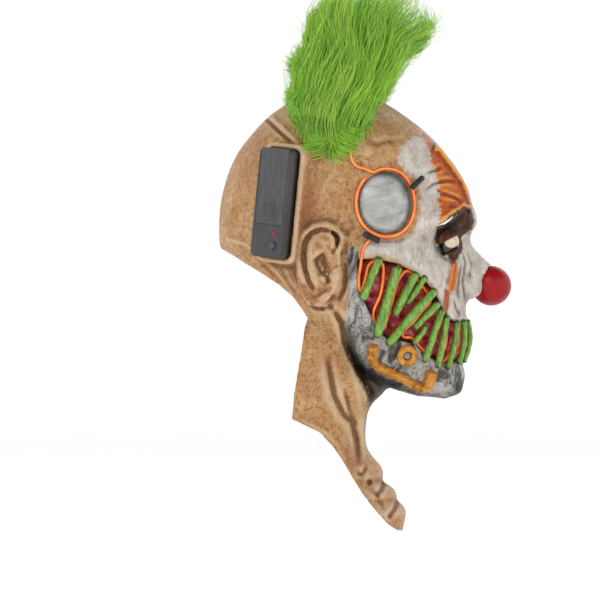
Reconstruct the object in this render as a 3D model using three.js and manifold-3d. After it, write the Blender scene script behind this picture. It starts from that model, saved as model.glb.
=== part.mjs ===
// A full-head latex clown mask: a hollow head with an open nape and a bib over the throat, a red ball
// on the snout, a gaping mouth crossed by green stitches and laced with glowing wire, a domed plate in
// a wire ring on each temple, brass fittings on the jaw, two tufts of green fur and a battery pack.
// Millimetres, +Z up, the face looks along -Y and the wearer's left is +X. The origin is the highest
// point inside the crown, where the wearer's head carries the mask.
import * as THREE from "three";
import { mergeVertices } from "three/addons/utils/BufferGeometryUtils.js";
import Module from "manifold-3d";

const wasm = await Module();
wasm.setup();

// Driving sizes.
const WALL = 2.5;
const GAP = 0.3;
const SEAT = 0.6;
const HEAD = { height: 274, front: 121, back: 107, halfWidth: 92, fullness: 1.9, backFullness: 2.2 };
const BIB = { length: 204, reach: 59, halfWidth: 66 };
const GASH = { depth: 6.5 };
const SNOUT = { halfWidth: 21, halfHeight: 24 };
const NOSE_BALL = { diameter: 35.5 };
const EYE = { diameter: 25, apart: 66, lid: 2, lidOpen: 28, back: 2.5 };
const SLIT = { height: 7, width: 24 };
const EAR = { height: 76, width: 42, thick: 15, turn: 24, standOff: 8 };
const DISC = { height: 54, width: 46, dome: 5 };
const WIRE = { diameter: 3, sides: 4 };
const RING = { clear: 1.3, start: 116, sweep: 342 };
const CLIP = { diameter: 5.1, length: 16 };
const JAW_BAR = { width: 7, block: 9 };
const JAW_RING = { outer: 19.5, thick: 6 };
const JAW_STUD = { diameter: 5, height: 6 };
const CASE = { height: 95, width: 31, depth: 18.5, corner: 5, lean: 6.5, turn: 30, standOff: 2.5 };
const POCKET = { wall: 4, height: 4 };
const PANEL = { height: 29, button: 11, lamp: 21, side: 6 };
const DOOR = { thick: 1.8, margin: 2, grips: 7, gripPitch: 2.4, gripHeight: 0.5 };
const BUTTON = { diameter: 6.5, proud: 1.6, travel: 1.2, bore: 3 };
const LAMP = { diameter: 2.4, proud: 0.6, bore: 2 };
const TUFT = { height: 118, patchWidth: 78, patchHeight: 62, patchThick: 9, spread: 16 };
const TUFT_CORE = { thick: 50, width: 100, height: 112, tilt: 14 };

// Sections of the head from the crown to the chin. down is a share of HEAD.height; axis (where the
// section is widest) and front are shares of HEAD.front; back of HEAD.back; width of HEAD.halfWidth.
const HEAD_ROWS = [
  { down: 0, axis: 0, front: 0.01, back: 0.01, width: 0.01 },
  { down: 0.006, axis: 0, front: 0.095, back: 0.13, width: 0.26 },
  { down: 0.022, axis: -0.015, front: 0.234, back: 0.303, width: 0.48 },
  { down: 0.051, axis: -0.044, front: 0.365, back: 0.459, width: 0.65 },
  { down: 0.09, axis: -0.073, front: 0.496, back: 0.598, width: 0.78 },
  { down: 0.141, axis: -0.1, front: 0.642, back: 0.721, width: 0.88 },
  { down: 0.199, axis: -0.124, front: 0.766, back: 0.836, width: 0.945 },
  { down: 0.264, axis: -0.139, front: 0.876, back: 0.918, width: 0.984 },
  { down: 0.328, axis: -0.146, front: 0.949, back: 0.967, width: 1 },
  { down: 0.379, axis: -0.146, front: 0.978, back: 0.992, width: 1 },
  { down: 0.431, axis: -0.146, front: 1, back: 1, width: 0.99 },
  { down: 0.463, axis: -0.146, front: 0.971, back: 1, width: 0.978 },
  { down: 0.495, axis: -0.139, front: 0.949, back: 0.996, width: 0.967 },
  { down: 0.54, axis: -0.124, front: 0.934, back: 0.967, width: 0.935 },
  { down: 0.601, axis: -0.095, front: 0.92, back: 0.91, width: 0.89 },
  { down: 0.666, axis: -0.051, front: 0.92, back: 0.82, width: 0.85 },
  { down: 0.72, axis: 0.015, front: 0.92, back: 0.64, width: 0.79 },
  { down: 0.772, axis: 0.1, front: 0.934, back: 0.41, width: 0.72 },
  { down: 0.823, axis: 0.204, front: 0.934, back: 0.18, width: 0.64 },
  { down: 0.875, axis: 0.32, front: 0.9, back: -0.04, width: 0.555 },
  { down: 0.92, axis: 0.44, front: 0.92, back: -0.213, width: 0.467 },
  { down: 0.958, axis: 0.584, front: 0.905, back: -0.393, width: 0.36 },
  { down: 0.984, axis: 0.708, front: 0.876, back: -0.59, width: 0.23 },
  { down: 1, axis: 0.766, front: 0.77, back: -0.862, width: 0.01 },
];

// Sections of the neck and bib. down is a share of BIB.length below the ear lobes; axis, front and
// back are shares of BIB.reach forward of the head's axis; width is a share of BIB.halfWidth.
const BIB_ROWS = [
  { down: -0.12, axis: -0.33, front: 0.0, back: -1.1, width: 0.84 },
  { down: 0.13, axis: -0.33, front: 0.3, back: -1.25, width: 0.91 },
  { down: 0.27, axis: -0.3, front: 0.46, back: -1.25, width: 0.93 },
  { down: 0.35, axis: -0.28, front: 0.74, back: -1.25, width: 0.94 },
  { down: 0.4, axis: -0.26, front: 0.66, back: -1.25, width: 0.95 },
  { down: 0.45, axis: -0.25, front: 0.49, back: -1.25, width: 0.96 },
  { down: 0.51, axis: -0.24, front: 0.41, back: -1.25, width: 0.97 },
  { down: 0.63, axis: -0.26, front: 0.4, back: -1.25, width: 1.01 },
  { down: 0.68, axis: -0.2, front: 0.5, back: -1.2, width: 1.05 },
  { down: 0.72, axis: -0.14, front: 0.62, back: -1.1, width: 1.08 },
  { down: 0.755, axis: -0.09, front: 0.66, back: -1.0, width: 1.1 },
  { down: 0.785, axis: -0.04, front: 0.65, back: -0.9, width: 1.12 },
  { down: 0.815, axis: 0.0, front: 0.8, back: -0.85, width: 1.14 },
  { down: 0.845, axis: 0.04, front: 0.86, back: -0.8, width: 1.16 },
  { down: 0.865, axis: 0.06, front: 0.86, back: -0.8, width: 1.17 },
  { down: 0.89, axis: 0.09, front: 0.95, back: -0.75, width: 1.19 },
  { down: 0.92, axis: 0.12, front: 1.0, back: -0.7, width: 1.21 },
  { down: 1.08, axis: 0.15, front: 0.88, back: -0.6, width: 1.22 },
];
const BIB_TOP = 0.682;

// Swellings (above zero) and hollows (below) of the face. forward and down place each one in the side
// view, as shares of HEAD.front and HEAD.height; long and tall are its reach and rise its height, as
// shares of HEAD.height.
const FORMS = [
  { name: "eye_socket", forward: 0.79, down: 0.492, long: 0.05, tall: 0.05, rise: -0.05 },
  { name: "cheekbone_front", forward: 0.62, down: 0.585, long: 0.08, tall: 0.05, rise: 0.03 },
  { name: "cheekbone_back", forward: 0.27, down: 0.525, long: 0.1, tall: 0.035, rise: 0.02 },
  { name: "brow_outer", forward: 0.72, down: 0.42, long: 0.06, tall: 0.035, rise: 0.018 },
  { name: "temple_hollow", forward: 0.62, down: 0.36, long: 0.05, tall: 0.07, rise: -0.014 },
  { name: "upper_lip", forward: 0.83, down: 0.69, long: 0.06, tall: 0.05, rise: 0.012 },
  { name: "forehead_side", forward: 0.36, down: 0.2, long: 0.1, tall: 0.06, rise: 0.014 },
];

// Rings of the snout from inside the face to the ball. forward and down as above; high and wide are
// shares of SNOUT.halfHeight and SNOUT.halfWidth; pitch tips the ring, in degrees.
const SNOUT_RINGS = [
  { forward: 0.84, down: 0.575, high: 1.0, wide: 1.05, pitch: 0 },
  { forward: 0.93, down: 0.585, high: 0.98, wide: 0.98, pitch: 4 },
  { forward: 0.985, down: 0.6, high: 0.86, wide: 0.86, pitch: 10 },
  { forward: 1.04, down: 0.615, high: 0.72, wide: 0.74, pitch: 16 },
  { forward: 1.09, down: 0.627, high: 0.62, wide: 0.66, pitch: 22 },
];
const BALL_PLACE = { forward: 1.113, down: 0.634 };

// The side-view outline of what is cut away behind the nape and the bib, and of the open mouth.
const TRIM_HEAD = [
  [-1.3, 0.514], [-0.87, 0.514], [-0.79, 0.534], [-0.69, 0.563], [-0.57, 0.595], [-0.44, 0.633],
  [-0.34, 0.672], [-0.27, 0.714], [-0.235, 0.74],
];
const TRIM_BIB = [
  [-0.53, 0.12], [-0.565, 0.2], [-0.63, 0.31], [-0.69, 0.41], [-0.72, 0.51], [-0.5, 0.54],
  [-0.3, 0.567], [-0.1, 0.63], [0.04, 0.69], [0.18, 0.76], [0.33, 0.83], [0.49, 0.89], [0.69, 0.957],
  [0.84, 0.991], [0.93, 1.002], [1.3, 1.01], [1.3, 1.3], [-2.6, 1.3],
];
const GASH_OUTLINE = [
  [0.12, 0.55], [0.26, 0.548], [0.4, 0.562], [0.51, 0.585], [0.61, 0.617], [0.68, 0.65], [0.725, 0.69],
  [0.77, 0.73], [0.83, 0.748], [1.05, 0.752], [1.05, 0.862], [0.89, 0.872], [0.8, 0.888], [0.71, 0.88],
  [0.62, 0.858], [0.54, 0.823], [0.44, 0.812], [0.34, 0.806], [0.27, 0.78], [0.225, 0.735], [0.175, 0.69],
  [0.125, 0.65],
];

// Green stitches across the mouth, from the ear to the lip. Each runs from (topF, topD) to (lowF, lowD)
// in the side view; topIn and lowIn sink an end by that many times its own radius.
const STITCHES = [
  { topF: 0.27, topD: 0.54, lowF: 0.155, lowD: 0.68, diameter: 7, topIn: 0, lowIn: 0 },
  { topF: 0.395, topD: 0.565, lowF: 0.262, lowD: 0.797, diameter: 8, topIn: 0, lowIn: 0 },
  { topF: 0.52, topD: 0.588, lowF: 0.388, lowD: 0.73, diameter: 7, topIn: 0, lowIn: 0.6 },
  { topF: 0.58, topD: 0.6, lowF: 0.485, lowD: 0.698, diameter: 5.5, topIn: 0, lowIn: 1.6 },
  { topF: 0.66, topD: 0.642, lowF: 0.335, lowD: 0.823, diameter: 7.5, topIn: 0, lowIn: 0 },
  { topF: 0.7, topD: 0.684, lowF: 0.53, lowD: 0.775, diameter: 6.5, topIn: 0, lowIn: 1.4 },
  { topF: 0.64, topD: 0.765, lowF: 0.52, lowD: 0.822, diameter: 5, topIn: 2, lowIn: 0 },
  { topF: 0.722, topD: 0.705, lowF: 0.605, lowD: 0.88, diameter: 6, topIn: 0, lowIn: 0 },
  { topF: 0.757, topD: 0.728, lowF: 0.702, lowD: 0.9, diameter: 5.5, topIn: 0, lowIn: 0 },
  { topF: 0.835, topD: 0.744, lowF: 0.776, lowD: 0.905, diameter: 5, topIn: 0, lowIn: 0 },
  { topF: 0.88, topD: 0.742, lowF: 0.855, lowD: 0.89, diameter: 5, topIn: 0, lowIn: 0 },
  { topF: 0.917, topD: 0.742, lowF: 0.893, lowD: 0.885, diameter: 4.5, topIn: 0, lowIn: 0 },
];
const STITCH = { sides: 6, lift: 0.8, bow: 1.2 };
// The front stitches bend round the lips by these shares of HEAD.front.
const FRONT_BENDS = { 10: 0.008, 11: 0.016, 12: 0.024 };

// The glowing wire laced through the mouth: (forward, down) in the side view and the height of its
// centre above the skin, in wire diameters. It dips under the stitches at each turn.
const MOUTH_WIRE = [
  [0.22, 0.48, 0.7], [0.19, 0.496, 0.7], [0.152, 0.522, 0.6], [0.142, 0.565, 0.3], [0.132, 0.62, -0.1], [0.15, 0.655, -0.6],
  [0.182, 0.615, -0.6], [0.205, 0.575, -1.1], [0.25, 0.562, -1.5], [0.3, 0.572, -1.3], [0.308, 0.61, -0.4],
  [0.285, 0.67, -0.1], [0.25, 0.708, -0.5], [0.245, 0.74, -1.3], [0.28, 0.775, -1.5], [0.322, 0.775, -1.2],
  [0.343, 0.75, -1.4], [0.384, 0.69, -1.3], [0.42, 0.62, -1.4], [0.465, 0.592, -1.3], [0.52, 0.607, -1.5],
  [0.575, 0.635, -1.5], [0.635, 0.662, -1.5], [0.655, 0.69, -0.9], [0.6, 0.715, -0.4], [0.525, 0.755, -0.4],
  [0.465, 0.782, -0.9], [0.468, 0.802, -1.3], [0.53, 0.806, -1.5], [0.59, 0.832, -1.5], [0.645, 0.852, -1.3],
  [0.672, 0.84, -0.9], [0.683, 0.8, -0.2], [0.705, 0.762, -0.7], [0.732, 0.745, -1.4], [0.765, 0.755, -1],
  [0.773, 0.79, -0.1], [0.765, 0.835, -0.2], [0.742, 0.866, -1.1], [0.772, 0.88, -1.5], [0.8, 0.868, -1.1],
  [0.828, 0.83, -0.1], [0.848, 0.79, -0.3], [0.862, 0.765, -1.3], [0.884, 0.768, -1.2], [0.897, 0.795, -0.3],
  [0.89, 0.83, -0.3], [0.878, 0.855, -1],
];

// The brass bar on the jaw and the lead from the fur to the ring wire, in the side view.
const JAW_BAR_PATH = [
  [0.243, 0.818], [0.236, 0.862], [0.3, 0.89], [0.45, 0.922], [0.6, 0.955], [0.632, 0.948], [0.655, 0.905],
];
const RING_LEAD = [[0.062, 0.19], [0.07, 0.22], [0.085, 0.242], [0.12, 0.258], [0.16, 0.262]];
const PLACES = {
  disc: { forward: 0.323, down: 0.3715 },
  upperClip: { across: 0.97, up: 0.6, heading: 36 },
  lowerClip: { across: -0.55, up: -1.06, heading: -27 },
  jawRing: { forward: 0.48, down: 0.855 },
  ear: { forward: -0.161, down: 0.569 },
  eye: { forward: 0.766, down: 0.4956 },
  slit: { forward: 0.795, down: 0.43, slope: 34 },
  case: { forward: -0.416, down: 0.373 },
  tuft: { forward: -0.05, down: 0.12 },
};

// Locks of a tuft, that break the outline of its core. Roots and tips are offsets from the middle of
// the fur patch, as shares of TUFT.height; girth is a share of it too, and out leans the tip sideways
// in shares of TUFT.spread.
const LOCKS = [
  { rootF: -0.26, rootD: 0.0, tipF: -0.42, tipD: -0.36, out: -0.2, girth: 0.16 },
  { rootF: -0.2, rootD: -0.3, tipF: -0.4, tipD: -0.62, out: -0.4, girth: 0.22 },
  { rootF: -0.12, rootD: -0.5, tipF: -0.28, tipD: -0.88, out: 0.2, girth: 0.26 },
  { rootF: -0.02, rootD: -0.6, tipF: -0.1, tipD: -1.06, out: -0.2, girth: 0.28 },
  { rootF: 0.1, rootD: -0.7, tipF: 0.14, tipD: -1.18, out: 0.3, girth: 0.28 },
  { rootF: 0.22, rootD: -0.7, tipF: 0.34, tipD: -1.22, out: -0.3, girth: 0.26 },
  { rootF: 0.32, rootD: -0.6, tipF: 0.54, tipD: -1.05, out: 0.1, girth: 0.24 },
  { rootF: 0.34, rootD: -0.4, tipF: 0.6, tipD: -0.8, out: 0.0, girth: 0.2 },
  { rootF: 0.26, rootD: -0.15, tipF: 0.5, tipD: -0.5, out: -0.2, girth: 0.18 },
  { rootF: 0.05, rootD: -0.4, tipF: 0.08, tipD: -0.95, out: 1.5, girth: 0.26 },
  { rootF: 0.2, rootD: -0.3, tipF: 0.34, tipD: -0.84, out: 1.4, girth: 0.24 },
  { rootF: -0.1, rootD: -0.2, tipF: -0.18, tipD: -0.65, out: 1.4, girth: 0.22 },
];
const CORE_PLACE = { forward: 0.08, down: -0.5, out: 0.6 };
const LOCK_SIDES = 4;

const DEG = Math.PI / 180;
const crownZ = WALL;
const V = (x, y, z) => new THREE.Vector3(x, y, z);

// Value of a column at a place between the rows, on a smooth curve through them.
function along(rows, column, down) {
  const last = rows.length - 1;
  if (down <= rows[0].down) return rows[0][column];
  if (down >= rows[last].down) return rows[last][column];
  const i = rows.findIndex((row, k) => k < last && rows[k + 1].down > down);
  const slope = (k) => {
    const a = rows[Math.max(k - 1, 0)];
    const b = rows[Math.min(k + 1, last)];
    return (b[column] - a[column]) / (b.down - a.down);
  };
  const span = rows[i + 1].down - rows[i].down;
  const t = (down - rows[i].down) / span;
  const ease = t * t * (3 - 2 * t);
  const ends = rows[i][column] * (1 - ease) + rows[i + 1][column] * ease;
  return ends + span * (slope(i) * t * (1 - t) ** 2 - slope(i + 1) * t * t * (1 - t));
}

// Section of the head at a share of its height: where it is widest, its ends and its half-width.
function headSection(down) {
  return {
    z: crownZ - down * HEAD.height,
    axis: -along(HEAD_ROWS, "axis", down) * HEAD.front,
    front: -along(HEAD_ROWS, "front", down) * HEAD.front,
    back: along(HEAD_ROWS, "back", down) * HEAD.back,
    half: along(HEAD_ROWS, "width", down) * HEAD.halfWidth,
  };
}

function bibSection(down) {
  return {
    z: crownZ - BIB_TOP * HEAD.height - down * BIB.length,
    axis: -along(BIB_ROWS, "axis", down) * BIB.reach,
    front: -along(BIB_ROWS, "front", down) * BIB.reach,
    back: -along(BIB_ROWS, "back", down) * BIB.reach,
    half: along(BIB_ROWS, "width", down) * BIB.halfWidth,
  };
}

// Point of a section, by an angle that is 0 at the face and PI at the back.
function onSection(s, angle) {
  const c = Math.cos(angle);
  const x = Math.sin(angle);
  const power = 2 / (c > 0 ? HEAD.fullness : HEAD.backFullness);
  const reach = (c > 0 ? s.front : s.back) - s.axis;
  return new THREE.Vector3(
    s.half * Math.sign(x) * Math.abs(x) ** power,
    s.axis + reach * Math.abs(c) ** power,
    s.z,
  );
}

// How far the face's swellings and hollows push a point of the skin outwards.
function rise(p) {
  let sum = 0;
  for (const form of FORMS) {
    const centre = skin(form.forward, form.down);
    const x = (-Math.abs(p.x) - centre.x) / (form.long * HEAD.height * 1.3);
    const y = (p.y - centre.y) / (form.long * HEAD.height);
    const z = (p.z - centre.z) / (form.tall * HEAD.height);
    sum += form.rise * HEAD.height * Math.exp(-(x * x + y * y + z * z) / 2);
  }
  return sum;
}

// Point of the plain head, on its right side, at a place in the side view.
function skin(forward, down) {
  const s = headSection(down);
  const y = -forward * HEAD.front;
  const ahead = y < s.axis;
  const share = Math.min((y - s.axis) / ((ahead ? s.front : s.back) - s.axis), 0.999);
  const power = ahead ? HEAD.fullness : HEAD.backFullness;
  return V(-s.half * (1 - share ** power) ** (1 / power), y, s.z);
}

// Point of the shaped face, on its right side.
function surface(forward, down) {
  const p = skin(forward, down);
  const s = headSection(down);
  const n = V(p.x / s.half ** 2, (p.y - s.axis) / (s.front - s.axis) ** 2, 0);
  return p.addScaledVector(n.normalize(), rise(p));
}

// Outward direction of the shaped face.
function outward(forward, down) {
  const step = 0.004;
  const a = surface(forward + step, down).sub(surface(forward - step, down));
  const b = surface(forward, down + step).sub(surface(forward, down - step));
  const n = a.cross(b).normalize();
  return n.x > 0 ? n.negate() : n;
}

const above = (forward, down, height) =>
  surface(forward, down).addScaledVector(outward(forward, down), height);

// Volume inside a closed list of faces, below zero where they face inwards.
function volumeOf(places, faces) {
  let sum = 0;
  for (let i = 0; i < faces.length; i += 3) {
    const [a, b, c] = [places[faces[i]], places[faces[i + 1]], places[faces[i + 2]]];
    sum += a.dot(b.clone().cross(c)) / 6;
  }
  return sum;
}

// Geometry of rings of points, closed at both ends and facing outwards. Its faces are split one way up
// one side and the other way up the other, so a mirrored form has mirrored faces.
function lofted(rings) {
  const sides = rings[0].length;
  const places = rings.flat();
  const middle = (ring) => ring.reduce((sum, p) => sum.add(p), new THREE.Vector3()).divideScalar(sides);
  const faces = [];
  for (let i = 0; i < rings.length - 1; i++) {
    for (let j = 0; j < sides; j++) {
      const a = i * sides + j;
      const b = i * sides + ((j + 1) % sides);
      if (j < sides / 2) faces.push(a, b, a + sides, b, b + sides, a + sides);
      else faces.push(a, b, b + sides, a, b + sides, a + sides);
    }
  }
  const first = places.push(middle(rings[0])) - 1;
  const last = places.push(middle(rings[rings.length - 1])) - 1;
  const base = (rings.length - 1) * sides;
  for (let j = 0; j < sides; j++) {
    const k = (j + 1) % sides;
    faces.push(k, j, first, base + j, base + k, last);
  }
  if (volumeOf(places, faces) < 0) faces.reverse();
  const made = new THREE.BufferGeometry().setFromPoints(places).setIndex(faces);
  made.computeVertexNormals();
  return made;
}

// A three.js geometry as a solid for cutting and joining.
function solid(geometry) {
  const plain = new THREE.BufferGeometry();
  plain.setAttribute("position", geometry.getAttribute("position").clone());
  if (geometry.index) plain.setIndex(geometry.index.clone());
  const merged = mergeVertices(plain, 1e-4);
  const made = new wasm.Manifold(
    new wasm.Mesh({
      numProp: 3,
      vertProperties: new Float32Array(merged.attributes.position.array),
      triVerts: new Uint32Array(merged.index.array),
    }),
  );
  if (made.volume() >= 0) return made;
  const turned = merged.index.array.slice().reverse();
  return new wasm.Manifold(
    new wasm.Mesh({
      numProp: 3,
      vertProperties: new Float32Array(merged.attributes.position.array),
      triVerts: new Uint32Array(turned),
    }),
  );
}

// A solid as a geometry again.
function shape(made) {
  const mesh = made.getMesh();
  return new THREE.BufferGeometry()
    .setAttribute("position", new THREE.BufferAttribute(new Float32Array(mesh.vertProperties), 3))
    .setIndex(new THREE.BufferAttribute(new Uint32Array(mesh.triVerts), 1));
}

// A geometry with each point moved along its normal; above zero it grows.
function grown(geometry, by) {
  const made = geometry.clone();
  const place = made.getAttribute("position");
  const normal = made.getAttribute("normal");
  for (let i = 0; i < place.count; i++) {
    place.setXYZ(
      i,
      place.getX(i) + normal.getX(i) * by,
      place.getY(i) + normal.getY(i) * by,
      place.getZ(i) + normal.getZ(i) * by,
    );
  }
  return made;
}

// Angles round a section, closer together at the face.
function angles(perSide, crowding) {
  const half = Array.from({ length: perSide + 1 }, (_, i) => Math.PI * (i / perSide) ** crowding);
  return [...half, ...half.slice(1, -1).reverse().map((a) => 2 * Math.PI - a)];
}

function headGeometry() {
  const columns = angles(9, 1.25);
  const fine = HEAD_ROWS.map((row) => row.down);
  const between = [0.57, 0.633];
  const downs = [...fine, ...between].sort((a, b) => a - b);
  const made = lofted(downs.map((down) => columns.map((a) => onSection(headSection(down), a))));
  const place = made.getAttribute("position");
  const normal = made.getAttribute("normal");
  for (let i = 0; i < place.count; i++) {
    const p = new THREE.Vector3().fromBufferAttribute(place, i);
    const n = new THREE.Vector3().fromBufferAttribute(normal, i);
    p.addScaledVector(n, rise(p));
    place.setXYZ(i, p.x, p.y, p.z);
  }
  made.computeVertexNormals();
  return made;
}

function bibGeometry() {
  const columns = angles(6, 1.1);
  return lofted(BIB_ROWS.map((row) => columns.map((a) => onSection(bibSection(row.down), a))));
}

function snoutGeometry() {
  const sides = 12;
  return lofted(
    SNOUT_RINGS.map((ring) =>
      Array.from({ length: sides }, (_, j) => {
        const a = (2 * Math.PI * j) / sides;
        const up = Math.cos(a) * ring.high * SNOUT.halfHeight;
        return new THREE.Vector3(
          Math.sin(a) * ring.wide * SNOUT.halfWidth,
          -ring.forward * HEAD.front - up * Math.sin(ring.pitch * DEG),
          crownZ - ring.down * HEAD.height + up * Math.cos(ring.pitch * DEG),
        );
      }),
    ),
  );
}

// A prism across the whole mask from a side-view outline of [y, z] points.
function acrossPrism(outline, halfDepth) {
  const flat = new THREE.Shape(outline.map(([y, z]) => new THREE.Vector2(y, z)));
  const made = new THREE.ExtrudeGeometry(flat, { depth: 2 * halfDepth, bevelEnabled: false });
  made.translate(0, 0, -halfDepth);
  made.applyMatrix4(
    new THREE.Matrix4().makeBasis(
      new THREE.Vector3(0, 1, 0),
      new THREE.Vector3(0, 0, 1),
      new THREE.Vector3(1, 0, 0),
    ),
  );
  return solid(made);
}

const headOutline = (outline) => outline.map(([f, d]) => [-f * HEAD.front, crownZ - d * HEAD.height]);
const bibOutline = (outline) =>
  outline.map(([f, d]) => [-f * BIB.reach, crownZ - BIB_TOP * HEAD.height - d * BIB.length]);

// A tube of round section along points, with a blunt end each side.
function tube(points, diameter, sides, steps) {
  const path = new THREE.CatmullRomCurve3(points, false, "centripetal");
  const round = new THREE.Shape(
    Array.from({ length: sides }, (_, i) => {
      const a = (2 * Math.PI * i) / sides;
      return new THREE.Vector2(Math.cos(a) * diameter * 0.5, Math.sin(a) * diameter * 0.5);
    }),
  );
  return new THREE.ExtrudeGeometry(round, { steps, extrudePath: path, bevelEnabled: false });
}

function ball(radii, centre, turn = new THREE.Euler(), segments = 12) {
  const made = new THREE.SphereGeometry(1, segments, Math.round(segments * 0.7));
  made.applyMatrix4(
    new THREE.Matrix4().compose(centre, new THREE.Quaternion().setFromEuler(turn), radii),
  );
  return made;
}

// Frame of a piece that lies on the right side of the face: X forwards, Y up the face, Z outwards.
function lying(forward, down, height) {
  const out = outward(forward, down);
  const up = V(0, 0, 1).addScaledVector(out, -out.z).normalize();
  const ahead = up.clone().cross(out).normalize();
  return new THREE.Matrix4().makeBasis(ahead, up, out).setPosition(above(forward, down, height));
}

// Every piece of a pair is built on the right; the left one is its mirror image.
const SIDES = { right: (made) => made, left: (made) => made.mirror([1, 0, 0]) };
const onBothSides = (made) => made.add(SIDES.left(made));

const headSkin = headGeometry();
const bibSkin = bibGeometry();
const snoutSkin = snoutGeometry();
const beyond = HEAD.halfWidth * 2;

function ear() {
  const { forward, down } = PLACES.ear;
  const s = skin(forward, down);
  const centre = V(s.x - EAR.standOff, s.y, s.z);
  const turn = new THREE.Euler(0, 0, -EAR.turn * DEG);
  const half = V(EAR.thick / 2, EAR.width / 2, EAR.height / 2);
  const bowl = V(half.x * 0.95, half.y * 0.55, half.z * 0.5);
  const bowlCentre = centre.clone().add(V(-half.x * 0.95, -half.y * 0.12, -half.z * 0.02));
  const hollow = V(half.x * 0.5, half.y * 0.62, half.z * 0.42);
  const hollowCentre = centre.clone().add(V(-half.x * 1.05, half.y * 0.05, half.z * 0.38));
  const root = V(EAR.standOff * 1.4, EAR.width * 0.26, EAR.height * 0.34);
  const rootCentre = centre.clone().add(V(EAR.standOff * 0.8, -EAR.width * 0.12, 0));
  return solid(ball(half, centre, turn, 12))
    .add(solid(ball(root, rootCentre, turn, 6)))
    .subtract(solid(ball(bowl, bowlCentre, turn, 6)))
    .subtract(solid(ball(hollow, hollowCentre, turn, 6)));
}

// Frame of the battery case: X across its face towards the mask's face, Y up its length, Z out of it.
function caseFrame() {
  const { forward, down } = PLACES.case;
  const out = V(-Math.cos(CASE.turn * DEG), Math.sin(CASE.turn * DEG), 0);
  const up = V(0, 0, 1).applyAxisAngle(out, -CASE.lean * DEG);
  const across = up.clone().cross(out).normalize();
  const centre = skin(forward, down).addScaledVector(out, CASE.standOff);
  return new THREE.Matrix4().makeBasis(across, up, out).setPosition(centre);
}
const caseAt = caseFrame();

// A plate with rounded corners that stands on the plane z = 0.
function roundedPlate(width, height, depth, corner, curveSegments = 3) {
  const w = width / 2 - corner;
  const h = height / 2 - corner;
  const flat = new THREE.Shape();
  flat.absarc(w, -h, corner, -Math.PI / 2, 0);
  flat.absarc(w, h, corner, 0, Math.PI / 2);
  flat.absarc(-w, h, corner, Math.PI / 2, Math.PI);
  flat.absarc(-w, -h, corner, Math.PI, Math.PI * 1.5);
  return new THREE.ExtrudeGeometry(flat, { depth, bevelEnabled: false, curveSegments });
}

const onCase = (geometry, x, y, z) => solid(geometry.translate(x, y, z).applyMatrix4(caseAt));
const peg = (diameter, height) =>
  new THREE.CylinderGeometry(diameter / 2, diameter / 2, height, 12)
    .rotateX(Math.PI / 2)
    .translate(0, 0, height / 2);

// The case's own layout, in its frame.
const doorWidth = CASE.width - 2 * DOOR.margin;
const doorHeight = CASE.height - PANEL.height;
const doorLow = CASE.height / 2 - doorHeight;
const buttonPlace = [PANEL.side, -CASE.height / 2 + PANEL.button];
const lampPlace = [PANEL.side, -CASE.height / 2 + PANEL.lamp];

const caseBlock = (more) =>
  onCase(
    roundedPlate(
      CASE.width + 2 * more, CASE.height + 2 * more, CASE.depth + 2 * more, CASE.corner + more,
    ),
    0, 0, -more,
  );

function pocket() {
  const width = CASE.width + 2 * POCKET.wall;
  const height = CASE.height + 2 * POCKET.wall;
  const block = roundedPlate(width, height, CASE.depth, CASE.corner + POCKET.wall);
  return onCase(block, 0, 0, POCKET.height - CASE.depth);
}

// The door lies in a recess that is open at the top of the case, so it slides off upwards.
function batteryDoor() {
  const plate = new THREE.BoxGeometry(doorWidth, doorHeight, DOOR.thick);
  const middle = CASE.height / 2 - doorHeight / 2;
  let made = onCase(plate, 0, middle, CASE.depth - DOOR.thick / 2);
  for (let i = 0; i < DOOR.grips; i++) {
    const grip = new THREE.BoxGeometry(doorWidth * 0.4, DOOR.gripPitch * 0.5, DOOR.gripHeight * 2);
    made = made.add(onCase(grip, 0, doorLow + DOOR.gripPitch * (i + 1.2), CASE.depth));
  }
  return made;
}

function batteryCase() {
  const recess = new THREE.BoxGeometry(doorWidth + 2 * GAP, doorHeight + 2 * GAP, DOOR.thick * 2 + 2 * GAP);
  const middle = CASE.height / 2 - doorHeight / 2;
  const [bx, by] = buttonPlace;
  const [lx, ly] = lampPlace;
  const buttonBore = peg(BUTTON.diameter + 2 * GAP, BUTTON.bore + BUTTON.travel + GAP + 1);
  const lampBore = peg(LAMP.diameter + 2 * GAP, LAMP.bore + GAP + 1);
  return caseBlock(0)
    .subtract(onCase(recess, 0, middle, CASE.depth))
    .subtract(onCase(buttonBore, bx, by, CASE.depth - BUTTON.bore - BUTTON.travel - GAP))
    .subtract(onCase(lampBore, lx, ly, CASE.depth - LAMP.bore - GAP));
}

const pushButton = () =>
  onCase(peg(BUTTON.diameter, BUTTON.bore + BUTTON.proud), ...buttonPlace, CASE.depth - BUTTON.bore);
const lamp = () => onCase(peg(LAMP.diameter, LAMP.bore + LAMP.proud), ...lampPlace, CASE.depth - LAMP.bore);

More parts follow.
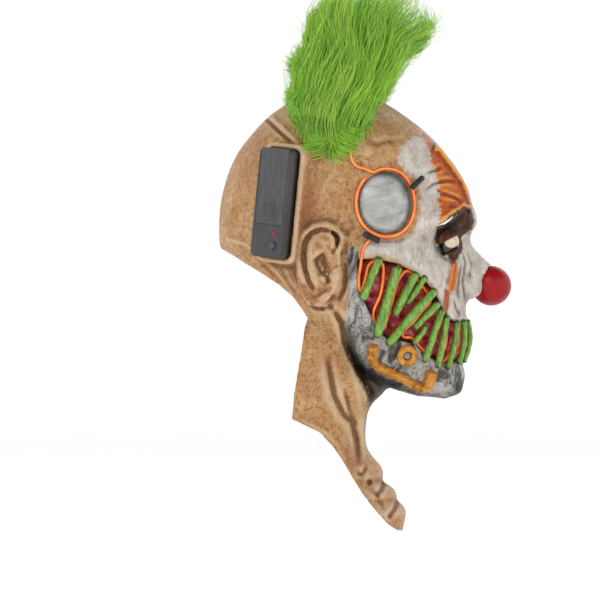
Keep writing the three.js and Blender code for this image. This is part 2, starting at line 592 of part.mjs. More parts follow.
// The eyes: a dome in each socket, a lid over its upper half and a slit above to see through.
const eyeCentre = () => V(-EYE.apart / 2, -PLACES.eye.forward * HEAD.front, crownZ - PLACES.eye.down * HEAD.height);
function eyeDome(more) {
  const r = EYE.diameter / 2 + more;
  const centre = eyeCentre();
  const behind = new THREE.BoxGeometry(4 * r, 4 * r, 4 * r);
  behind.translate(centre.x, centre.y + EYE.back + more + 2 * r, centre.z);
  return solid(ball(V(r, r, r), centre, undefined, 10)).subtract(solid(behind));
}
function eyeLid() {
  const r = EYE.diameter / 2 + EYE.lid;
  const centre = eyeCentre();
  const below = new THREE.BoxGeometry(4 * r, 4 * r, 2 * r).translate(0, 0, -r);
  below.rotateX(-EYE.lidOpen * DEG).translate(centre.x, centre.y, centre.z);
  return solid(ball(V(r, r, r), centre, undefined, 10)).subtract(solid(below));
}
function eyeSlit() {
  const { forward, down, slope } = PLACES.slit;
  const cut = roundedPlate(SLIT.width, SLIT.height, 12 * WALL, SLIT.height * 0.45, 1);
  cut.rotateZ(slope * DEG).translate(0, 0, -8 * WALL);
  return solid(cut.applyMatrix4(lying(forward, down, 0)));
}

// A stitch dips at each end that the table sinks.
function stitch(s, more) {
  const bend = FRONT_BENDS[STITCHES.indexOf(s) + 1] ?? 0;
  const r = s.diameter / 2;
  const end = (f, d, sunk) => above(f, d, r * (STITCH.lift - sunk));
  const height = r * (STITCH.lift - (s.topIn + s.lowIn) / 2) + STITCH.bow;
  const middle = above((s.topF + s.lowF) / 2 + bend, (s.topD + s.lowD) / 2, height);
  const points = [end(s.topF, s.topD, s.topIn), middle, end(s.lowF, s.lowD, s.lowIn)];
  return solid(tube(points, s.diameter + 2 * more, STITCH.sides, 2));
}

// Wires lie a gap above the skin unless their table says another height.
const wireSeat = WIRE.diameter / 2 + SEAT;
const wirePoint = ([f, d, high]) => above(f, d, high === undefined ? wireSeat : high * WIRE.diameter);
const wire = (points, steps, more) => solid(tube(points, WIRE.diameter + 2 * more, WIRE.sides, steps));
const mouthWire = (more) => wire(MOUTH_WIRE.map(wirePoint), 62, more);

// Place in the side view by shares of the ring's half-sizes from the middle of the disc.
function roundDisc(across, up) {
  const half = (size) => size / 2 + RING.clear + WIRE.diameter / 2;
  return [
    PLACES.disc.forward + (across * half(DISC.width)) / HEAD.front,
    PLACES.disc.down - (up * half(DISC.height)) / HEAD.height,
  ];
}

// The ring wire starts under the fur, and its loop stops short of a whole turn.
function ringWire(more) {
  const turns = 16;
  const loop = Array.from({ length: turns + 1 }, (_, i) => {
    const a = (RING.start - (RING.sweep * i) / turns) * DEG;
    return wirePoint(roundDisc(Math.cos(a), Math.sin(a)));
  });
  return wire([...RING_LEAD.map(wirePoint), ...loop], 32, more);
}

function clip(place) {
  const made = new THREE.CylinderGeometry(CLIP.diameter / 2, CLIP.diameter / 2, CLIP.length, 8);
  made.rotateZ((place.heading - 90) * DEG);
  const height = wireSeat + WIRE.diameter / 2 + GAP + CLIP.diameter / 2;
  return solid(made.applyMatrix4(lying(...roundDisc(place.across, place.up), height)));
}

// The domed plate follows the curve of the temple. Each ring of it has a share of its half-size and
// a height above the skin.
function templeDisc() {
  const { forward, down } = PLACES.disc;
  const sides = 16;
  const rings = [
    [0.5, SEAT], [1, SEAT], [1, SEAT + DISC.dome * 0.12], [0.86, SEAT + DISC.dome * 0.5],
    [0.62, SEAT + DISC.dome * 0.8], [0.32, SEAT + DISC.dome * 0.96],
  ];
  return solid(
    lofted(
      rings.map(([share, height]) =>
        Array.from({ length: sides }, (_, i) => {
          const a = (2 * Math.PI * i) / sides;
          const f = forward + (Math.cos(a) * DISC.width * 0.5 * share) / HEAD.front;
          const d = down - (Math.sin(a) * DISC.height * 0.5 * share) / HEAD.height;
          return above(f, d, height);
        }),
      ),
    ),
  );
}

// The brass pieces lie a gap above the jaw.
function jawBar() {
  const at = (path, width) => tube(path.map(([f, d]) => above(f, d, width / 2 + SEAT)), width, 4, path.length - 1);
  const ends = [JAW_BAR_PATH.slice(0, 2), JAW_BAR_PATH.slice(-2)];
  return ends.reduce((made, end) => made.add(solid(at(end, JAW_BAR.block))), solid(at(JAW_BAR_PATH, JAW_BAR.width)));
}

function jawRing() {
  const r = JAW_RING.thick / 2;
  const { forward, down } = PLACES.jawRing;
  const made = new THREE.TorusGeometry(JAW_RING.outer / 2 - r, r, 6, 12);
  return solid(made.applyMatrix4(lying(forward, down, r + SEAT)));
}

function jawStud() {
  const { forward, down } = PLACES.jawRing;
  const made = peg(JAW_STUD.diameter, JAW_STUD.height);
  return solid(made.applyMatrix4(lying(forward, down, 0)));
}

// Point of a tuft from the middle of its patch: forward and down are shares of TUFT.height and out is
// a share of TUFT.spread.
function fromPatch(forward, down, out) {
  const middle = above(PLACES.tuft.forward, PLACES.tuft.down, 0);
  return middle.add(V(-out * TUFT.spread, -forward * TUFT.height, -down * TUFT.height));
}

// A lock of fur: round rings on a bent line, thickest near the root and fine at the tip.
function lock(row) {
  const h = TUFT.height;
  const root = fromPatch(row.rootF, row.rootD, CORE_PLACE.out);
  const tip = fromPatch(row.tipF, row.tipD, CORE_PLACE.out + row.out);
  const shares = [0, 0.5, 1];
  const girths = [1, 1.05, 0.15];
  const bend = V(-TUFT.spread * 0.5, (root.y - tip.y) * 0.35, 0);
  const dir = tip.clone().sub(root).normalize();
  const a = V(1, 0, 0).cross(dir).normalize();
  const b = dir.clone().cross(a);
  const rings = shares.map((t, i) => {
    const p = root.clone().lerp(tip, t).addScaledVector(bend, 2 * t * (1 - t));
    const r = row.girth * h * 0.5 * girths[i];
    return Array.from({ length: LOCK_SIDES }, (_, j) => {
      const angle = (2 * Math.PI * j) / LOCK_SIDES;
      return p.clone().addScaledVector(a, Math.cos(angle) * r).addScaledVector(b, Math.sin(angle) * r);
    });
  });
  return solid(lofted(rings));
}

function hairTuft() {
  const { forward, down } = PLACES.tuft;
  const half = V(TUFT.patchWidth / 2, TUFT.patchHeight / 2, TUFT.patchThick);
  const patch = ball(half, V(0, 0, 0), undefined, 10).applyMatrix4(lying(forward, down, 0));
  const middle = fromPatch(CORE_PLACE.forward, CORE_PLACE.down, CORE_PLACE.out);
  const radii = V(TUFT_CORE.thick / 2, TUFT_CORE.width / 2, TUFT_CORE.height / 2);
  const core = ball(radii, middle, new THREE.Euler(TUFT_CORE.tilt * DEG, 0, 0), 10);
  return wasm.Manifold.union([solid(patch), solid(core), ...LOCKS.map(lock)])
    .subtract(solid(grown(headSkin, 2 * SEAT)))
    .subtract(ringWire(GAP * 2));
}

function noseBall(more) {
  const r = NOSE_BALL.diameter / 2 + more;
  const centre = V(0, -BALL_PLACE.forward * HEAD.front, crownZ - BALL_PLACE.down * HEAD.height);
  return solid(ball(V(r, r, r), centre, undefined, 14));
}

// The mouth is the skin's outline sunk by the gash depth, with its own wall behind and around it.
function sunkMouth(depth, wider) {
  const outline = headOutline(GASH_OUTLINE);
  const cy = outline.reduce((sum, p) => sum + p[0], 0) / outline.length;
  const cz = outline.reduce((sum, p) => sum + p[1], 0) / outline.length;
  const grownOutline = outline.map(([y, z]) => {
    const far = Math.hypot(y - cy, z - cz);
    return [y + ((y - cy) / far) * wider, z + ((z - cz) / far) * wider];
  });
  return acrossPrism(grownOutline, beyond).subtract(solid(grown(headSkin, -depth))).simplify(GAP);
}

function maskShell() {
  const outer = solid(headSkin).add(solid(bibSkin));
  const hollow = solid(grown(headSkin, -WALL)).add(solid(grown(bibSkin, -WALL)));
  const trim = acrossPrism([...headOutline(TRIM_HEAD), ...bibOutline(TRIM_BIB)], beyond);
  const socketWall = onBothSides(eyeDome(GAP + WALL)).intersect(solid(headSkin));
  const raised = onBothSides(ear().add(eyeLid()));
  const seats = wasm.Manifold.union([
    ...STITCHES.map((s) => stitch(s, GAP)),
    mouthWire(GAP), eyeDome(GAP), eyeSlit(),
  ]);
  return outer
    .subtract(sunkMouth(GASH.depth, 0))
    .add(solid(snoutSkin))
    .subtract(trim)
    .add(pocket())
    .add(raised)
    .subtract(hollow.subtract(sunkMouth(GASH.depth + WALL, WALL)))
    .subtract(solid(grown(snoutSkin, -WALL)))
    .add(socketWall)
    .subtract(onBothSides(seats))
    .subtract(caseBlock(GAP))
    .subtract(noseBall(GAP));
}

const finish = (color, roughness, metalness = 0) =>
  new THREE.MeshStandardMaterial({ color, roughness, metalness });
const FINISHES = {
  latex: finish(0xbe9b73, 0.7),
  nose: finish(0xa50a1e, 0.2),
  eye: finish(0xd7c8aa, 0.35),
  disc: finish(0xb4b4af, 0.4, 0.9),
  wire: finish(0xeb5a1e, 0.3),
  tube: finish(0x16161a, 0.5),
  stitch: finish(0x649628, 0.45),
  brass: finish(0xbe8228, 0.4, 0.9),
  stud: finish(0xa8a8a4, 0.35, 0.9),
  fur: finish(0x7db928, 0.95),
  case: finish(0x1a1a1c, 0.4),
  door: finish(0x464648, 0.5),
  lamp: finish(0xd21e1e, 0.25),
};

const group = new THREE.Group();

// Adds a named piece; a little simplifying drops the slivers that cutting leaves.
function addPiece(name, made, material, tolerance = 0.01) {
  const mesh = new THREE.Mesh(shape(made.simplify(tolerance)), material);
  mesh.name = name;
  group.add(mesh);
}

addPiece("mask_shell", maskShell(), FINISHES.latex, 0.2);
addPiece("nose_ball", noseBall(0), FINISHES.nose);
for (const [side, turned] of Object.entries(SIDES)) {
  addPiece(`eyeball_${side}`, turned(eyeDome(0)), FINISHES.eye);
  addPiece(`temple_disc_${side}`, turned(templeDisc()), FINISHES.disc);
  addPiece(`ring_wire_${side}`, turned(ringWire(0)), FINISHES.wire);
  addPiece(`upper_clip_${side}`, turned(clip(PLACES.upperClip)), FINISHES.tube);
  addPiece(`lower_clip_${side}`, turned(clip(PLACES.lowerClip)), FINISHES.tube);
  addPiece(`mouth_wire_${side}`, turned(mouthWire(0)), FINISHES.wire);
  STITCHES.forEach((s, i) => addPiece(`stitch_${side}_${i + 1}`, turned(stitch(s, 0)), FINISHES.stitch));
  addPiece(`jaw_bar_${side}`, turned(jawBar()), FINISHES.brass);
  addPiece(`jaw_ring_${side}`, turned(jawRing()), FINISHES.brass);
  addPiece(`jaw_stud_${side}`, turned(jawStud()), FINISHES.stud);
  addPiece(`hair_tuft_${side}`, turned(hairTuft()), FINISHES.fur, GAP);
}
addPiece("battery_case", batteryCase(), FINISHES.case);
addPiece("battery_door", batteryDoor(), FINISHES.door);
addPiece("push_button", pushButton(), FINISHES.tube);
addPiece("lamp", lamp(), FINISHES.lamp);

export default group;
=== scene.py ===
# %% [markdown]
# # A full-head latex clown mask
# The mask is one hollow latex casting, painted by hand, with separate pieces fixed to it: a red ball
# on the snout, eyes, stitches, glowing wire, metal pieces, two tufts of green fur and a battery pack.
# This lesson loads the engineering model as a fixed frame and gives each piece its real form and
# finish. Sizes in tables are millimetres, and meshes are metres.

# %% Load the frame
import math
import bmesh
import bpy
import numpy as np
import openvdb as vdb
from mathutils import Matrix, Vector
from mathutils.bvhtree import BVHTree


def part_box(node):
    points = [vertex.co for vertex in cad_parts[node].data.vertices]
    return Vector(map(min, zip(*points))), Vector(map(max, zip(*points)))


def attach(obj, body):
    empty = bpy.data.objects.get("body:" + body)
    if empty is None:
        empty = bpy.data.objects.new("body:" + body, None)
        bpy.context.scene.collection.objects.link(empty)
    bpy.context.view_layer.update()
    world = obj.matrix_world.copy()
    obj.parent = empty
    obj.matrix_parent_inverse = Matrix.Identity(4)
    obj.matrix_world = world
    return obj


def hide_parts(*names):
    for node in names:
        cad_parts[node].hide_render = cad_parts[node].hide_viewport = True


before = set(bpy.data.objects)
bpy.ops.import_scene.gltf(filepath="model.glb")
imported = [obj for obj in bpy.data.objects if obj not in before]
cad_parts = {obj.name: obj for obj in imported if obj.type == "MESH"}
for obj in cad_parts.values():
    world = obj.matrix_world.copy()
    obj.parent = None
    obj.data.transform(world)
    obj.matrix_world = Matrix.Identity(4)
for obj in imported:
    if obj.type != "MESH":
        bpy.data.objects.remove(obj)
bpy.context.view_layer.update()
scene = bpy.context.scene
MM = 0.001

# %% [markdown]
# ## Camera, light and floor
# The photograph looks at the wearer's right side from far away, so a long lens on a distant camera
# keeps the outline square to the view. Soft boxes above and on both sides give the gentle studio
# light, and a pale sweep is both floor and backdrop.

# %% Camera and sweep
GRID = 0.88                  # side of a square of the side-view drawing, in millimetres
LENS = 300
VIEW_WIDTH = 0.528
camera_data = bpy.data.cameras.new("camera")
camera_data.lens = LENS
camera_data.sensor_width = 36
camera_data.clip_end = 50
camera = bpy.data.objects.new("camera", camera_data)
scene.collection.objects.link(camera)
distance = VIEW_WIDTH * LENS / 36
camera.location = (-0.04 - distance, 0.0352, -0.1839)
camera.rotation_euler = (math.radians(90), 0, math.radians(-90))
scene.camera = camera
FLOOR_Z = -0.402


def pale_sweep():
    """Floor that curves up into walls all round, as one smooth dish."""
    rings = []
    for radius, height in [(2.0, 0), (5.2, 0), (5.9, 0.07), (6.6, 0.33), (7.2, 0.8), (7.5, 1.5), (7.7, 2.4),
        (7.75, 7)]:
        rings.append([
            (radius * math.cos(a), radius * math.sin(a), FLOOR_Z + height)
            for a in np.linspace(0, 2 * math.pi, 64, endpoint=False)
        ])
    verts = [p for ring in rings for p in ring]
    faces = [tuple(reversed(range(64)))]
    for i in range(len(rings) - 1):
        for j in range(64):
            a, b = i * 64 + j, i * 64 + (j + 1) % 64
            faces.append((a, b, b + 64, a + 64))
    mesh = bpy.data.meshes.new("sweep")
    mesh.from_pydata(verts, [], [tuple(reversed(f)) for f in faces])
    mesh.shade_smooth()
    return mesh


sweep_paint = bpy.data.materials.new("sweep_paint")
sweep_paint.use_nodes = True
paint = sweep_paint.node_tree.nodes["Principled BSDF"]
paint.inputs["Base Color"].default_value = (0.95, 0.95, 0.95, 1)
paint.inputs["Emission Color"].default_value = (1, 1, 1, 1)
paint.inputs["Emission Strength"].default_value = 0.4
paint.inputs["Roughness"].default_value = 0.9

sweep = bpy.data.objects.new("sweep", pale_sweep())
sweep.data.materials.append(sweep_paint)
scene.collection.objects.link(sweep)


def soft_box(name, place, aim, size, watts, tint=(1, 1, 1)):
    """Square area light at place, turned to face aim."""
    data = bpy.data.lights.new(name, "AREA")
    data.size = size
    data.energy = watts
    data.color = tint
    lamp = bpy.data.objects.new(name, data)
    lamp.location = place
    lamp.rotation_euler = (Vector(aim) - Vector(place)).to_track_quat("-Z", "Y").to_euler()
    scene.collection.objects.link(lamp)


MIDDLE = (0, -0.01, -0.13)
soft_box("key_light", (-1.5, 0.55, 1.15), MIDDLE, 0.9, 6.5)
soft_box("face_light", (-1.3, -1.5, 0.35), MIDDLE, 1.0, 2.4)
soft_box("left_light", (1.5, -0.9, 0.9), MIDDLE, 1.2, 4)
soft_box("back_light", (0.7, 1.7, 1.0), MIDDLE, 1.2, 3)
world = bpy.data.worlds.new("studio")
world.use_nodes = True
world.node_tree.nodes["Background"].inputs["Color"].default_value = (1, 1, 1, 1)
world.node_tree.nodes["Background"].inputs["Strength"].default_value = 0.15
scene.world = world
scene.view_settings.view_transform = "Standard"
print("camera", [round(c, 3) for c in camera.location])

# %% [markdown]
# ## The side-view drawing
# The mask was measured on a side view, so its tables use two shares: forward, of the distance from
# the crown axis to the brow, and down, of the height from crown to chin. Details are drawn on a grid
# of 0.88 mm squares, as (along, down), and the same grid places the paint.

# %% Main sizes and the two ways to name a place
WALL = 2.5
HEAD = dict(height=274, front=121, back=107, halfWidth=92, fullness=1.9, backFullness=2.2)
BIB = dict(length=204, reach=59, halfWidth=66)
BIB_TOP = 0.682


def at_share(forward, down):
    """(y, z) of a place given in shares."""
    return -forward * HEAD["front"], WALL - down * HEAD["height"]


def at_grid(along, down):
    """(y, z) of a place on the drawing's grid."""
    return -(along - 340) * GRID, (91 - down) * GRID


# %% [markdown]
# ## Sections of the head and the bib
# A sculptor starts a mask from a rough head form. Here it is a stack of rounded sections, one for
# each row of a table. A smooth curve through the rows gives as many sections as the mesh needs.

# %% Section tables
HEAD_ROWS = [  # down, axis, front, back, width
    (0, 0, 0.01, 0.01, 0.01), (0.006, 0, 0.095, 0.13, 0.26), (0.022, -0.015, 0.234, 0.303, 0.48),
    (0.051, -0.044, 0.365, 0.459, 0.65), (0.09, -0.073, 0.496, 0.598, 0.78),
    (0.141, -0.1, 0.642, 0.721, 0.88), (0.199, -0.124, 0.766, 0.836, 0.945),
    (0.264, -0.139, 0.876, 0.918, 0.984), (0.328, -0.146, 0.949, 0.967, 1),
    (0.379, -0.146, 0.978, 0.992, 1), (0.431, -0.146, 1, 1, 0.99), (0.463, -0.146, 0.971, 1, 0.978),
    (0.495, -0.139, 0.949, 0.996, 0.967), (0.54, -0.124, 0.934, 0.967, 0.935),
    (0.601, -0.095, 0.92, 0.91, 0.89), (0.666, -0.051, 0.92, 0.82, 0.85),
    (0.72, 0.015, 0.92, 0.64, 0.79), (0.772, 0.1, 0.934, 0.41, 0.72), (0.823, 0.204, 0.934, 0.18, 0.64),
    (0.875, 0.32, 0.9, -0.04, 0.555), (0.92, 0.44, 0.92, -0.213, 0.467),
    (0.958, 0.584, 0.905, -0.393, 0.36), (0.984, 0.708, 0.876, -0.59, 0.23),
    (1, 0.766, 0.77, -0.862, 0.01),
]
BIB_ROWS = [
    (-0.12, -0.33, 0.0, -1.1, 0.84), (0.13, -0.33, 0.3, -1.25, 0.91), (0.27, -0.3, 0.46, -1.25, 0.93),
    (0.35, -0.28, 0.74, -1.25, 0.94), (0.4, -0.26, 0.66, -1.25, 0.95), (0.45, -0.25, 0.49, -1.25, 0.96),
    (0.51, -0.24, 0.41, -1.25, 0.97), (0.63, -0.26, 0.4, -1.25, 1.01), (0.68, -0.2, 0.5, -1.2, 1.05),
    (0.72, -0.14, 0.62, -1.1, 1.08), (0.755, -0.09, 0.66, -1.0, 1.1), (0.785, -0.04, 0.65, -0.9, 1.12),
    (0.815, 0.0, 0.8, -0.85, 1.14), (0.845, 0.04, 0.86, -0.8, 1.16), (0.865, 0.06, 0.86, -0.8, 1.17),
    (0.89, 0.09, 0.95, -0.75, 1.19), (0.92, 0.12, 1.0, -0.7, 1.21), (1.08, 0.15, 0.88, -0.6, 1.22),
]


def along_rows(rows, column, down):
    """Value of a column between the rows, on a smooth curve through them."""
    last = len(rows) - 1
    if down <= rows[0][0]:
        return rows[0][column]
    if down >= rows[last][0]:
        return rows[last][column]
    i = max(k for k in range(last) if rows[k][0] <= down)

    def slope(k):
        a, b = rows[max(k - 1, 0)], rows[min(k + 1, last)]
        return (b[column] - a[column]) / (b[0] - a[0])

    span = rows[i + 1][0] - rows[i][0]
    t = (down - rows[i][0]) / span
    ease = t * t * (3 - 2 * t)
    ends = rows[i][column] * (1 - ease) + rows[i + 1][column] * ease
    return ends + span * (slope(i) * t * (1 - t) ** 2 - slope(i + 1) * t * t * (1 - t))


def head_section(down):
    """z, axis y, front y, back y and half-width of a section of the head."""
    axis, front, back, width = (along_rows(HEAD_ROWS, c, down) for c in (1, 2, 3, 4))
    return (
        WALL - down * HEAD["height"], -axis * HEAD["front"], -front * HEAD["front"],
        back * HEAD["back"], width * HEAD["halfWidth"],
    )


def bib_section(down):
    """The same five sizes for a section of the bib."""
    axis, front, back, width = (along_rows(BIB_ROWS, c, down) for c in (1, 2, 3, 4))
    top = WALL - BIB_TOP * HEAD["height"]
    return (
        top - down * BIB["length"], -axis * BIB["reach"], -front * BIB["reach"],
        -back * BIB["reach"], width * BIB["halfWidth"],
    )


def ring_of(section, sides):
    """Points round a section, from the face and back to it."""
    z, axis, front, back, half = section
    a = np.linspace(0, 2 * np.pi, sides, endpoint=False)
    c, s = np.cos(a), np.sin(a)
    power = np.where(c > 0, 2 / HEAD["fullness"], 2 / HEAD["backFullness"])
    reach = np.where(c > 0, front - axis, back - axis)
    x = half * np.sign(s) * np.abs(s) ** power
    y = axis + reach * np.abs(c) ** power
    return np.stack([x, y, np.full(sides, z)], axis=1)


print("sections", len(HEAD_ROWS), "of the head and", len(BIB_ROWS), "of the bib")

# %% [markdown]
# ## Clay as a distance field
# The latex form is sculpted like clay: forms are added, hollows are pressed in, and all of it flows
# together. A grid of distances to the surface does the same in numbers. Adding a lump is a smooth
# minimum, pressing a groove adds to the distance, and the surface is where the distance is zero. The
# head is the same on both sides, so only its right half is worked, and then mirrored.

# %% The clay's grid
VOXEL = 1.5
HALF_X = 75                  # grid steps from the middle plane to the side
FIRST = (-HALF_X, -98, -264)     # first grid step along x, y and z
COUNT = (HALF_X + 1, 178, 272)
gx, gy, gz = (
    ((np.arange(COUNT[i]) + FIRST[i]) * VOXEL).astype(np.float32) for i in range(3)
)
X, Y, Z = gx[:, None, None], gy[None, :, None], gz[None, None, :]
grid_scale = vdb.createLinearTransform(VOXEL)


def loft(rings):
    """Points and triangles of a closed form through rings of points."""
    sides = len(rings[0])
    points = np.concatenate(rings + [rings[0].mean(0)[None], rings[-1].mean(0)[None]])
    n = len(rings) * sides
    tris = []
    for i in range(len(rings) - 1):
        for j in range(sides):
            a, b = i * sides + j, i * sides + (j + 1) % sides
            tris += [(a, b, b + sides), (a, b + sides, a + sides)]
    for j in range(sides):
        k = (j + 1) % sides
        tris += [(k, j, n), (n - sides + j, n - sides + k, n + 1)]
    return points.astype(np.float32), np.array(tris, dtype=np.uint32)


def distance_to(points, tris):
    """Distances from the half grid to a closed form, below zero inside it."""
    a, b, c = (points[tris[:, i]] for i in range(3))
    if np.einsum("ij,ij->i", a, np.cross(b, c)).sum() < 0:
        tris = tris[:, ::-1].copy()
    level = vdb.FloatGrid.createLevelSetFromPolygons(
        points, triangles=tris, transform=grid_scale, halfWidth=14.0
    )
    block = np.zeros(COUNT, dtype=np.float32)
    level.copyToArray(block, ijk=FIRST)
    return block


def joined(a, b, blend):
    """Smooth union of two distance blocks."""
    h = np.maximum(blend - np.abs(a - b), 0) / blend
    return np.minimum(a, b) - h * h * blend * 0.25


def carved(a, b, blend):
    """a with b taken out, with a soft edge."""
    h = np.maximum(blend - np.abs(a + b), 0) / blend
    return np.maximum(a, -b) + h * h * blend * 0.25


def window(low, high):
    """1 where the distance from the middle plane is above high, 0 below low."""
    t = np.clip((np.abs(X) - low) / (high - low), 0, 1)
    return t * t * (3 - 2 * t)


def line_distance(points, u, v):
    """Distance from places (u, v) to a line of points, and the share along it."""
    best = np.full(np.broadcast(u, v).shape, 1e9, dtype=np.float32)
    share = np.zeros_like(best)
    total = len(points) - 1
    for i in range(total):
        (au, av), (bu, bv) = points[i], points[i + 1]
        du, dv = bu - au, bv - av
        t = np.clip(((u - au) * du + (v - av) * dv) / (du * du + dv * dv + 1e-9), 0, 1)
        d = np.hypot(u - au - t * du, v - av - t * dv)
        near = d < best
        best = np.where(near, d, best)
        share = np.where(near, (i + t) / total, share)
    return best, share


def outline_distance(points, u, v):
    """Signed distance to a closed outline, below zero inside it."""
    edge, _ = line_distance(list(points) + [points[0]], u, v)
    inside = np.zeros(edge.shape, dtype=bool)
    for i in range(len(points)):
        (au, av), (bu, bv) = points[i], points[(i + 1) % len(points)]
        crosses = (av > v) != (bv > v)
        with np.errstate(divide="ignore", invalid="ignore"):
            at = (bu - au) * (v - av) / (bv - av + (1e-12 if bv == av else 0)) + au
        inside ^= crosses & (u < at)
    return np.where(inside, -edge, edge)


SIDE_U, SIDE_V = gy[:, None], gz[None, :]
print("clay grid", COUNT, "of", VOXEL, "mm")

# %% [markdown]
# ## Head and snout in the clay
# The head is lofted through its sections and turned into a distance field, which works like clay: forms
# are joined with a soft seam, and lines are drawn into it. The snout is a second loft, blended on.

# %% Head, neck and snout
head_points, head_tris = loft([ring_of(head_section(d), 120) for d in np.linspace(0, 1, 160)])
bib_points, bib_tris = loft([ring_of(bib_section(d), 96) for d in np.linspace(-0.12, 1.08, 90)])
clay = distance_to(head_points, head_tris)
bib = distance_to(bib_points, bib_tris)

FORMS = [  # forward, down, long, tall, rise
    (0.79, 0.492, 0.05, 0.05, -0.05), (0.62, 0.585, 0.08, 0.05, 0.03),
    (0.27, 0.525, 0.1, 0.035, 0.02), (0.72, 0.42, 0.06, 0.035, 0.018),
    (0.62, 0.36, 0.05, 0.07, -0.014), (0.83, 0.69, 0.06, 0.05, 0.012),
    (0.36, 0.2, 0.1, 0.06, 0.014),
]


def skin(forward, down):
    """Point of the plain head on its right side."""
    z, axis, front, back, half = head_section(down)
    y = -forward * HEAD["front"]
    ahead = y < axis
    share = min((y - axis) / ((front if ahead else back) - axis), 0.999)
    power = HEAD["fullness"] if ahead else HEAD["backFullness"]
    return Vector((-half * (1 - share ** power) ** (1 / power), y, z))


FORM_CENTRES = [skin(f[0], f[1]) for f in FORMS]


def rise(p):
    """How far the forms of the face push a point of the skin outwards."""
    total = 0
    for (_, _, long, tall, height), c in zip(FORMS, FORM_CENTRES):
        x = (-abs(p[0]) - c[0]) / (long * HEAD["height"] * 1.3)
        y = (p[1] - c[1]) / (long * HEAD["height"])
        z = (p[2] - c[2]) / (tall * HEAD["height"])
        total += height * HEAD["height"] * math.exp(-(x * x + y * y + z * z) / 2)
    return total


for (_, _, long, tall, height), c in zip(FORMS, FORM_CENTRES):
    size = HEAD["height"]
    clay -= height * size * np.exp(-0.5 * (
        ((X - c[0]) / (long * size * 1.3)) ** 2 + ((Y - c[1]) / (long * size)) ** 2
        + ((Z - c[2]) / (tall * size)) ** 2
    ))

SNOUT_RINGS = [  # forward, down, half-height, half-width, pitch
    (0.80, 0.555, 25, 26, 0), (0.86, 0.57, 25, 24, 0), (0.93, 0.585, 23.5, 20.6, 4),
    (0.985, 0.6, 20.6, 18, 10), (1.04, 0.615, 17.3, 15.5, 16), (1.09, 0.627, 14.9, 13.9, 22),
]


def snout_ring(forward, down, high, wide, pitch):
    a = np.linspace(0, 2 * np.pi, 48, endpoint=False)
    y, z = at_share(forward, down)
    up = np.cos(a) * high
    tip = math.radians(pitch)
    return np.stack([np.sin(a) * wide, y - up * math.sin(tip), z + up * math.cos(tip)], axis=1)


snout = distance_to(*loft([snout_ring(*row) for row in SNOUT_RINGS]))
clay = joined(clay, snout, 9)
print("head, bib and snout are in the clay")

# %% [markdown]
# ## Folds, ridges and creases
# Small forms are drawn as lines over the side view, or over the front view for what the side doesn't
# show. A ridge is added and a groove pressed in along its line, with a soft section and tapered ends.

# %% Strokes
def stroke(points, width, height, side=(14, 26), taper=0.25, grid=True):
    """Raises (or presses in, below zero) a line drawn on the side view."""
    global clay
    line = [at_grid(*p) for p in points] if grid else points
    d, t = line_distance(line, SIDE_U, SIDE_V)
    ends = np.clip(np.minimum(t, 1 - t) / max(taper, 1e-3), 0, 1) ** 0.7 if taper else 1
    bump = (height * np.exp(-((d / width) ** 2)) * ends).astype(np.float32)
    rows = np.where(bump.any(1))[0]
    cut = slice(rows[0], rows[-1] + 1)
    clay[:, cut] -= bump[None, cut] * window(*side)


def press(outline, depth, lip, side=(14, 26), grid=True, blend=3.0, lips=0.0):
    """Presses an outline of the side view down to a floor below the skin."""
    global clay
    line = [at_grid(*p) for p in outline] if grid else outline
    d = outline_distance(line, SIDE_U, SIDE_V)[None]
    floor = clay + depth * window(*side)
    walls = -d - lip
    h = np.maximum(blend - np.abs(walls - floor), 0) / blend
    hollow = np.minimum(walls, floor) - h * h * blend * 0.25
    h = np.maximum(blend - np.abs(clay - hollow), 0) / blend
    clay = np.maximum(clay, hollow) + h * h * blend * 0.25 * (d < 6)
    if lips:
        clay -= lips * np.exp(-(((d - 2.5) / 2.5) ** 2)) * window(*side)
    return d


def front_stroke(points, width, height, ahead=-60):
    """Raises a line drawn on the front view, as (x, z), on both sides of the face."""
    global clay
    d, t = line_distance([(-abs(x), z) for x, z in points], gx[:, None], gz[None, :])
    ends = np.clip(np.minimum(t, 1 - t) / 0.25, 0, 1) ** 0.7
    bump = (height * np.exp(-((d / width) ** 2)) * ends).astype(np.float32)
    face = np.clip((ahead - gy) / 20, 0, 1)[None, :, None]
    clay -= bump[:, None, :] * face


# Forehead, brow and nose bridge.
stroke([(426, 174), (434, 171), (443, 167)], 1.6, -1.8)
stroke([(425, 191), (432, 185), (440, 182), (448, 181), (456, 182.5)], 1.5, -1.9)
stroke([(438, 194), (446, 195), (455, 198), (463, 203)], 1.5, -1.8)
stroke([(398, 152), (408, 144), (420, 140)], 3.5, 1.3)
stroke([(366, 142), (376, 146), (388, 143), (396, 146)], 3.2, -1.6)
stroke([(352, 134), (362, 148), (372, 158)], 5, 1.2)
stroke([(436, 229), (446, 219.5), (456, 212), (465, 206.5), (473, 205)], 4.2, 4.2, side=(6, 16))
stroke([(437, 233), (446, 226), (455, 219), (465, 214)], 3.2, -3.4, side=(18, 28))
stroke([(470, 210), (474, 222), (470, 232)], 4.5, 2.6, side=(4, 14), taper=0.1)
stroke([(434.5, 146.6), (441, 149), (454.4, 166.5), (466, 183), (472.6, 198), (473.5, 206), (468.7, 210.5)],
       3.2, 3.4, side=(17, 24), taper=0.02)
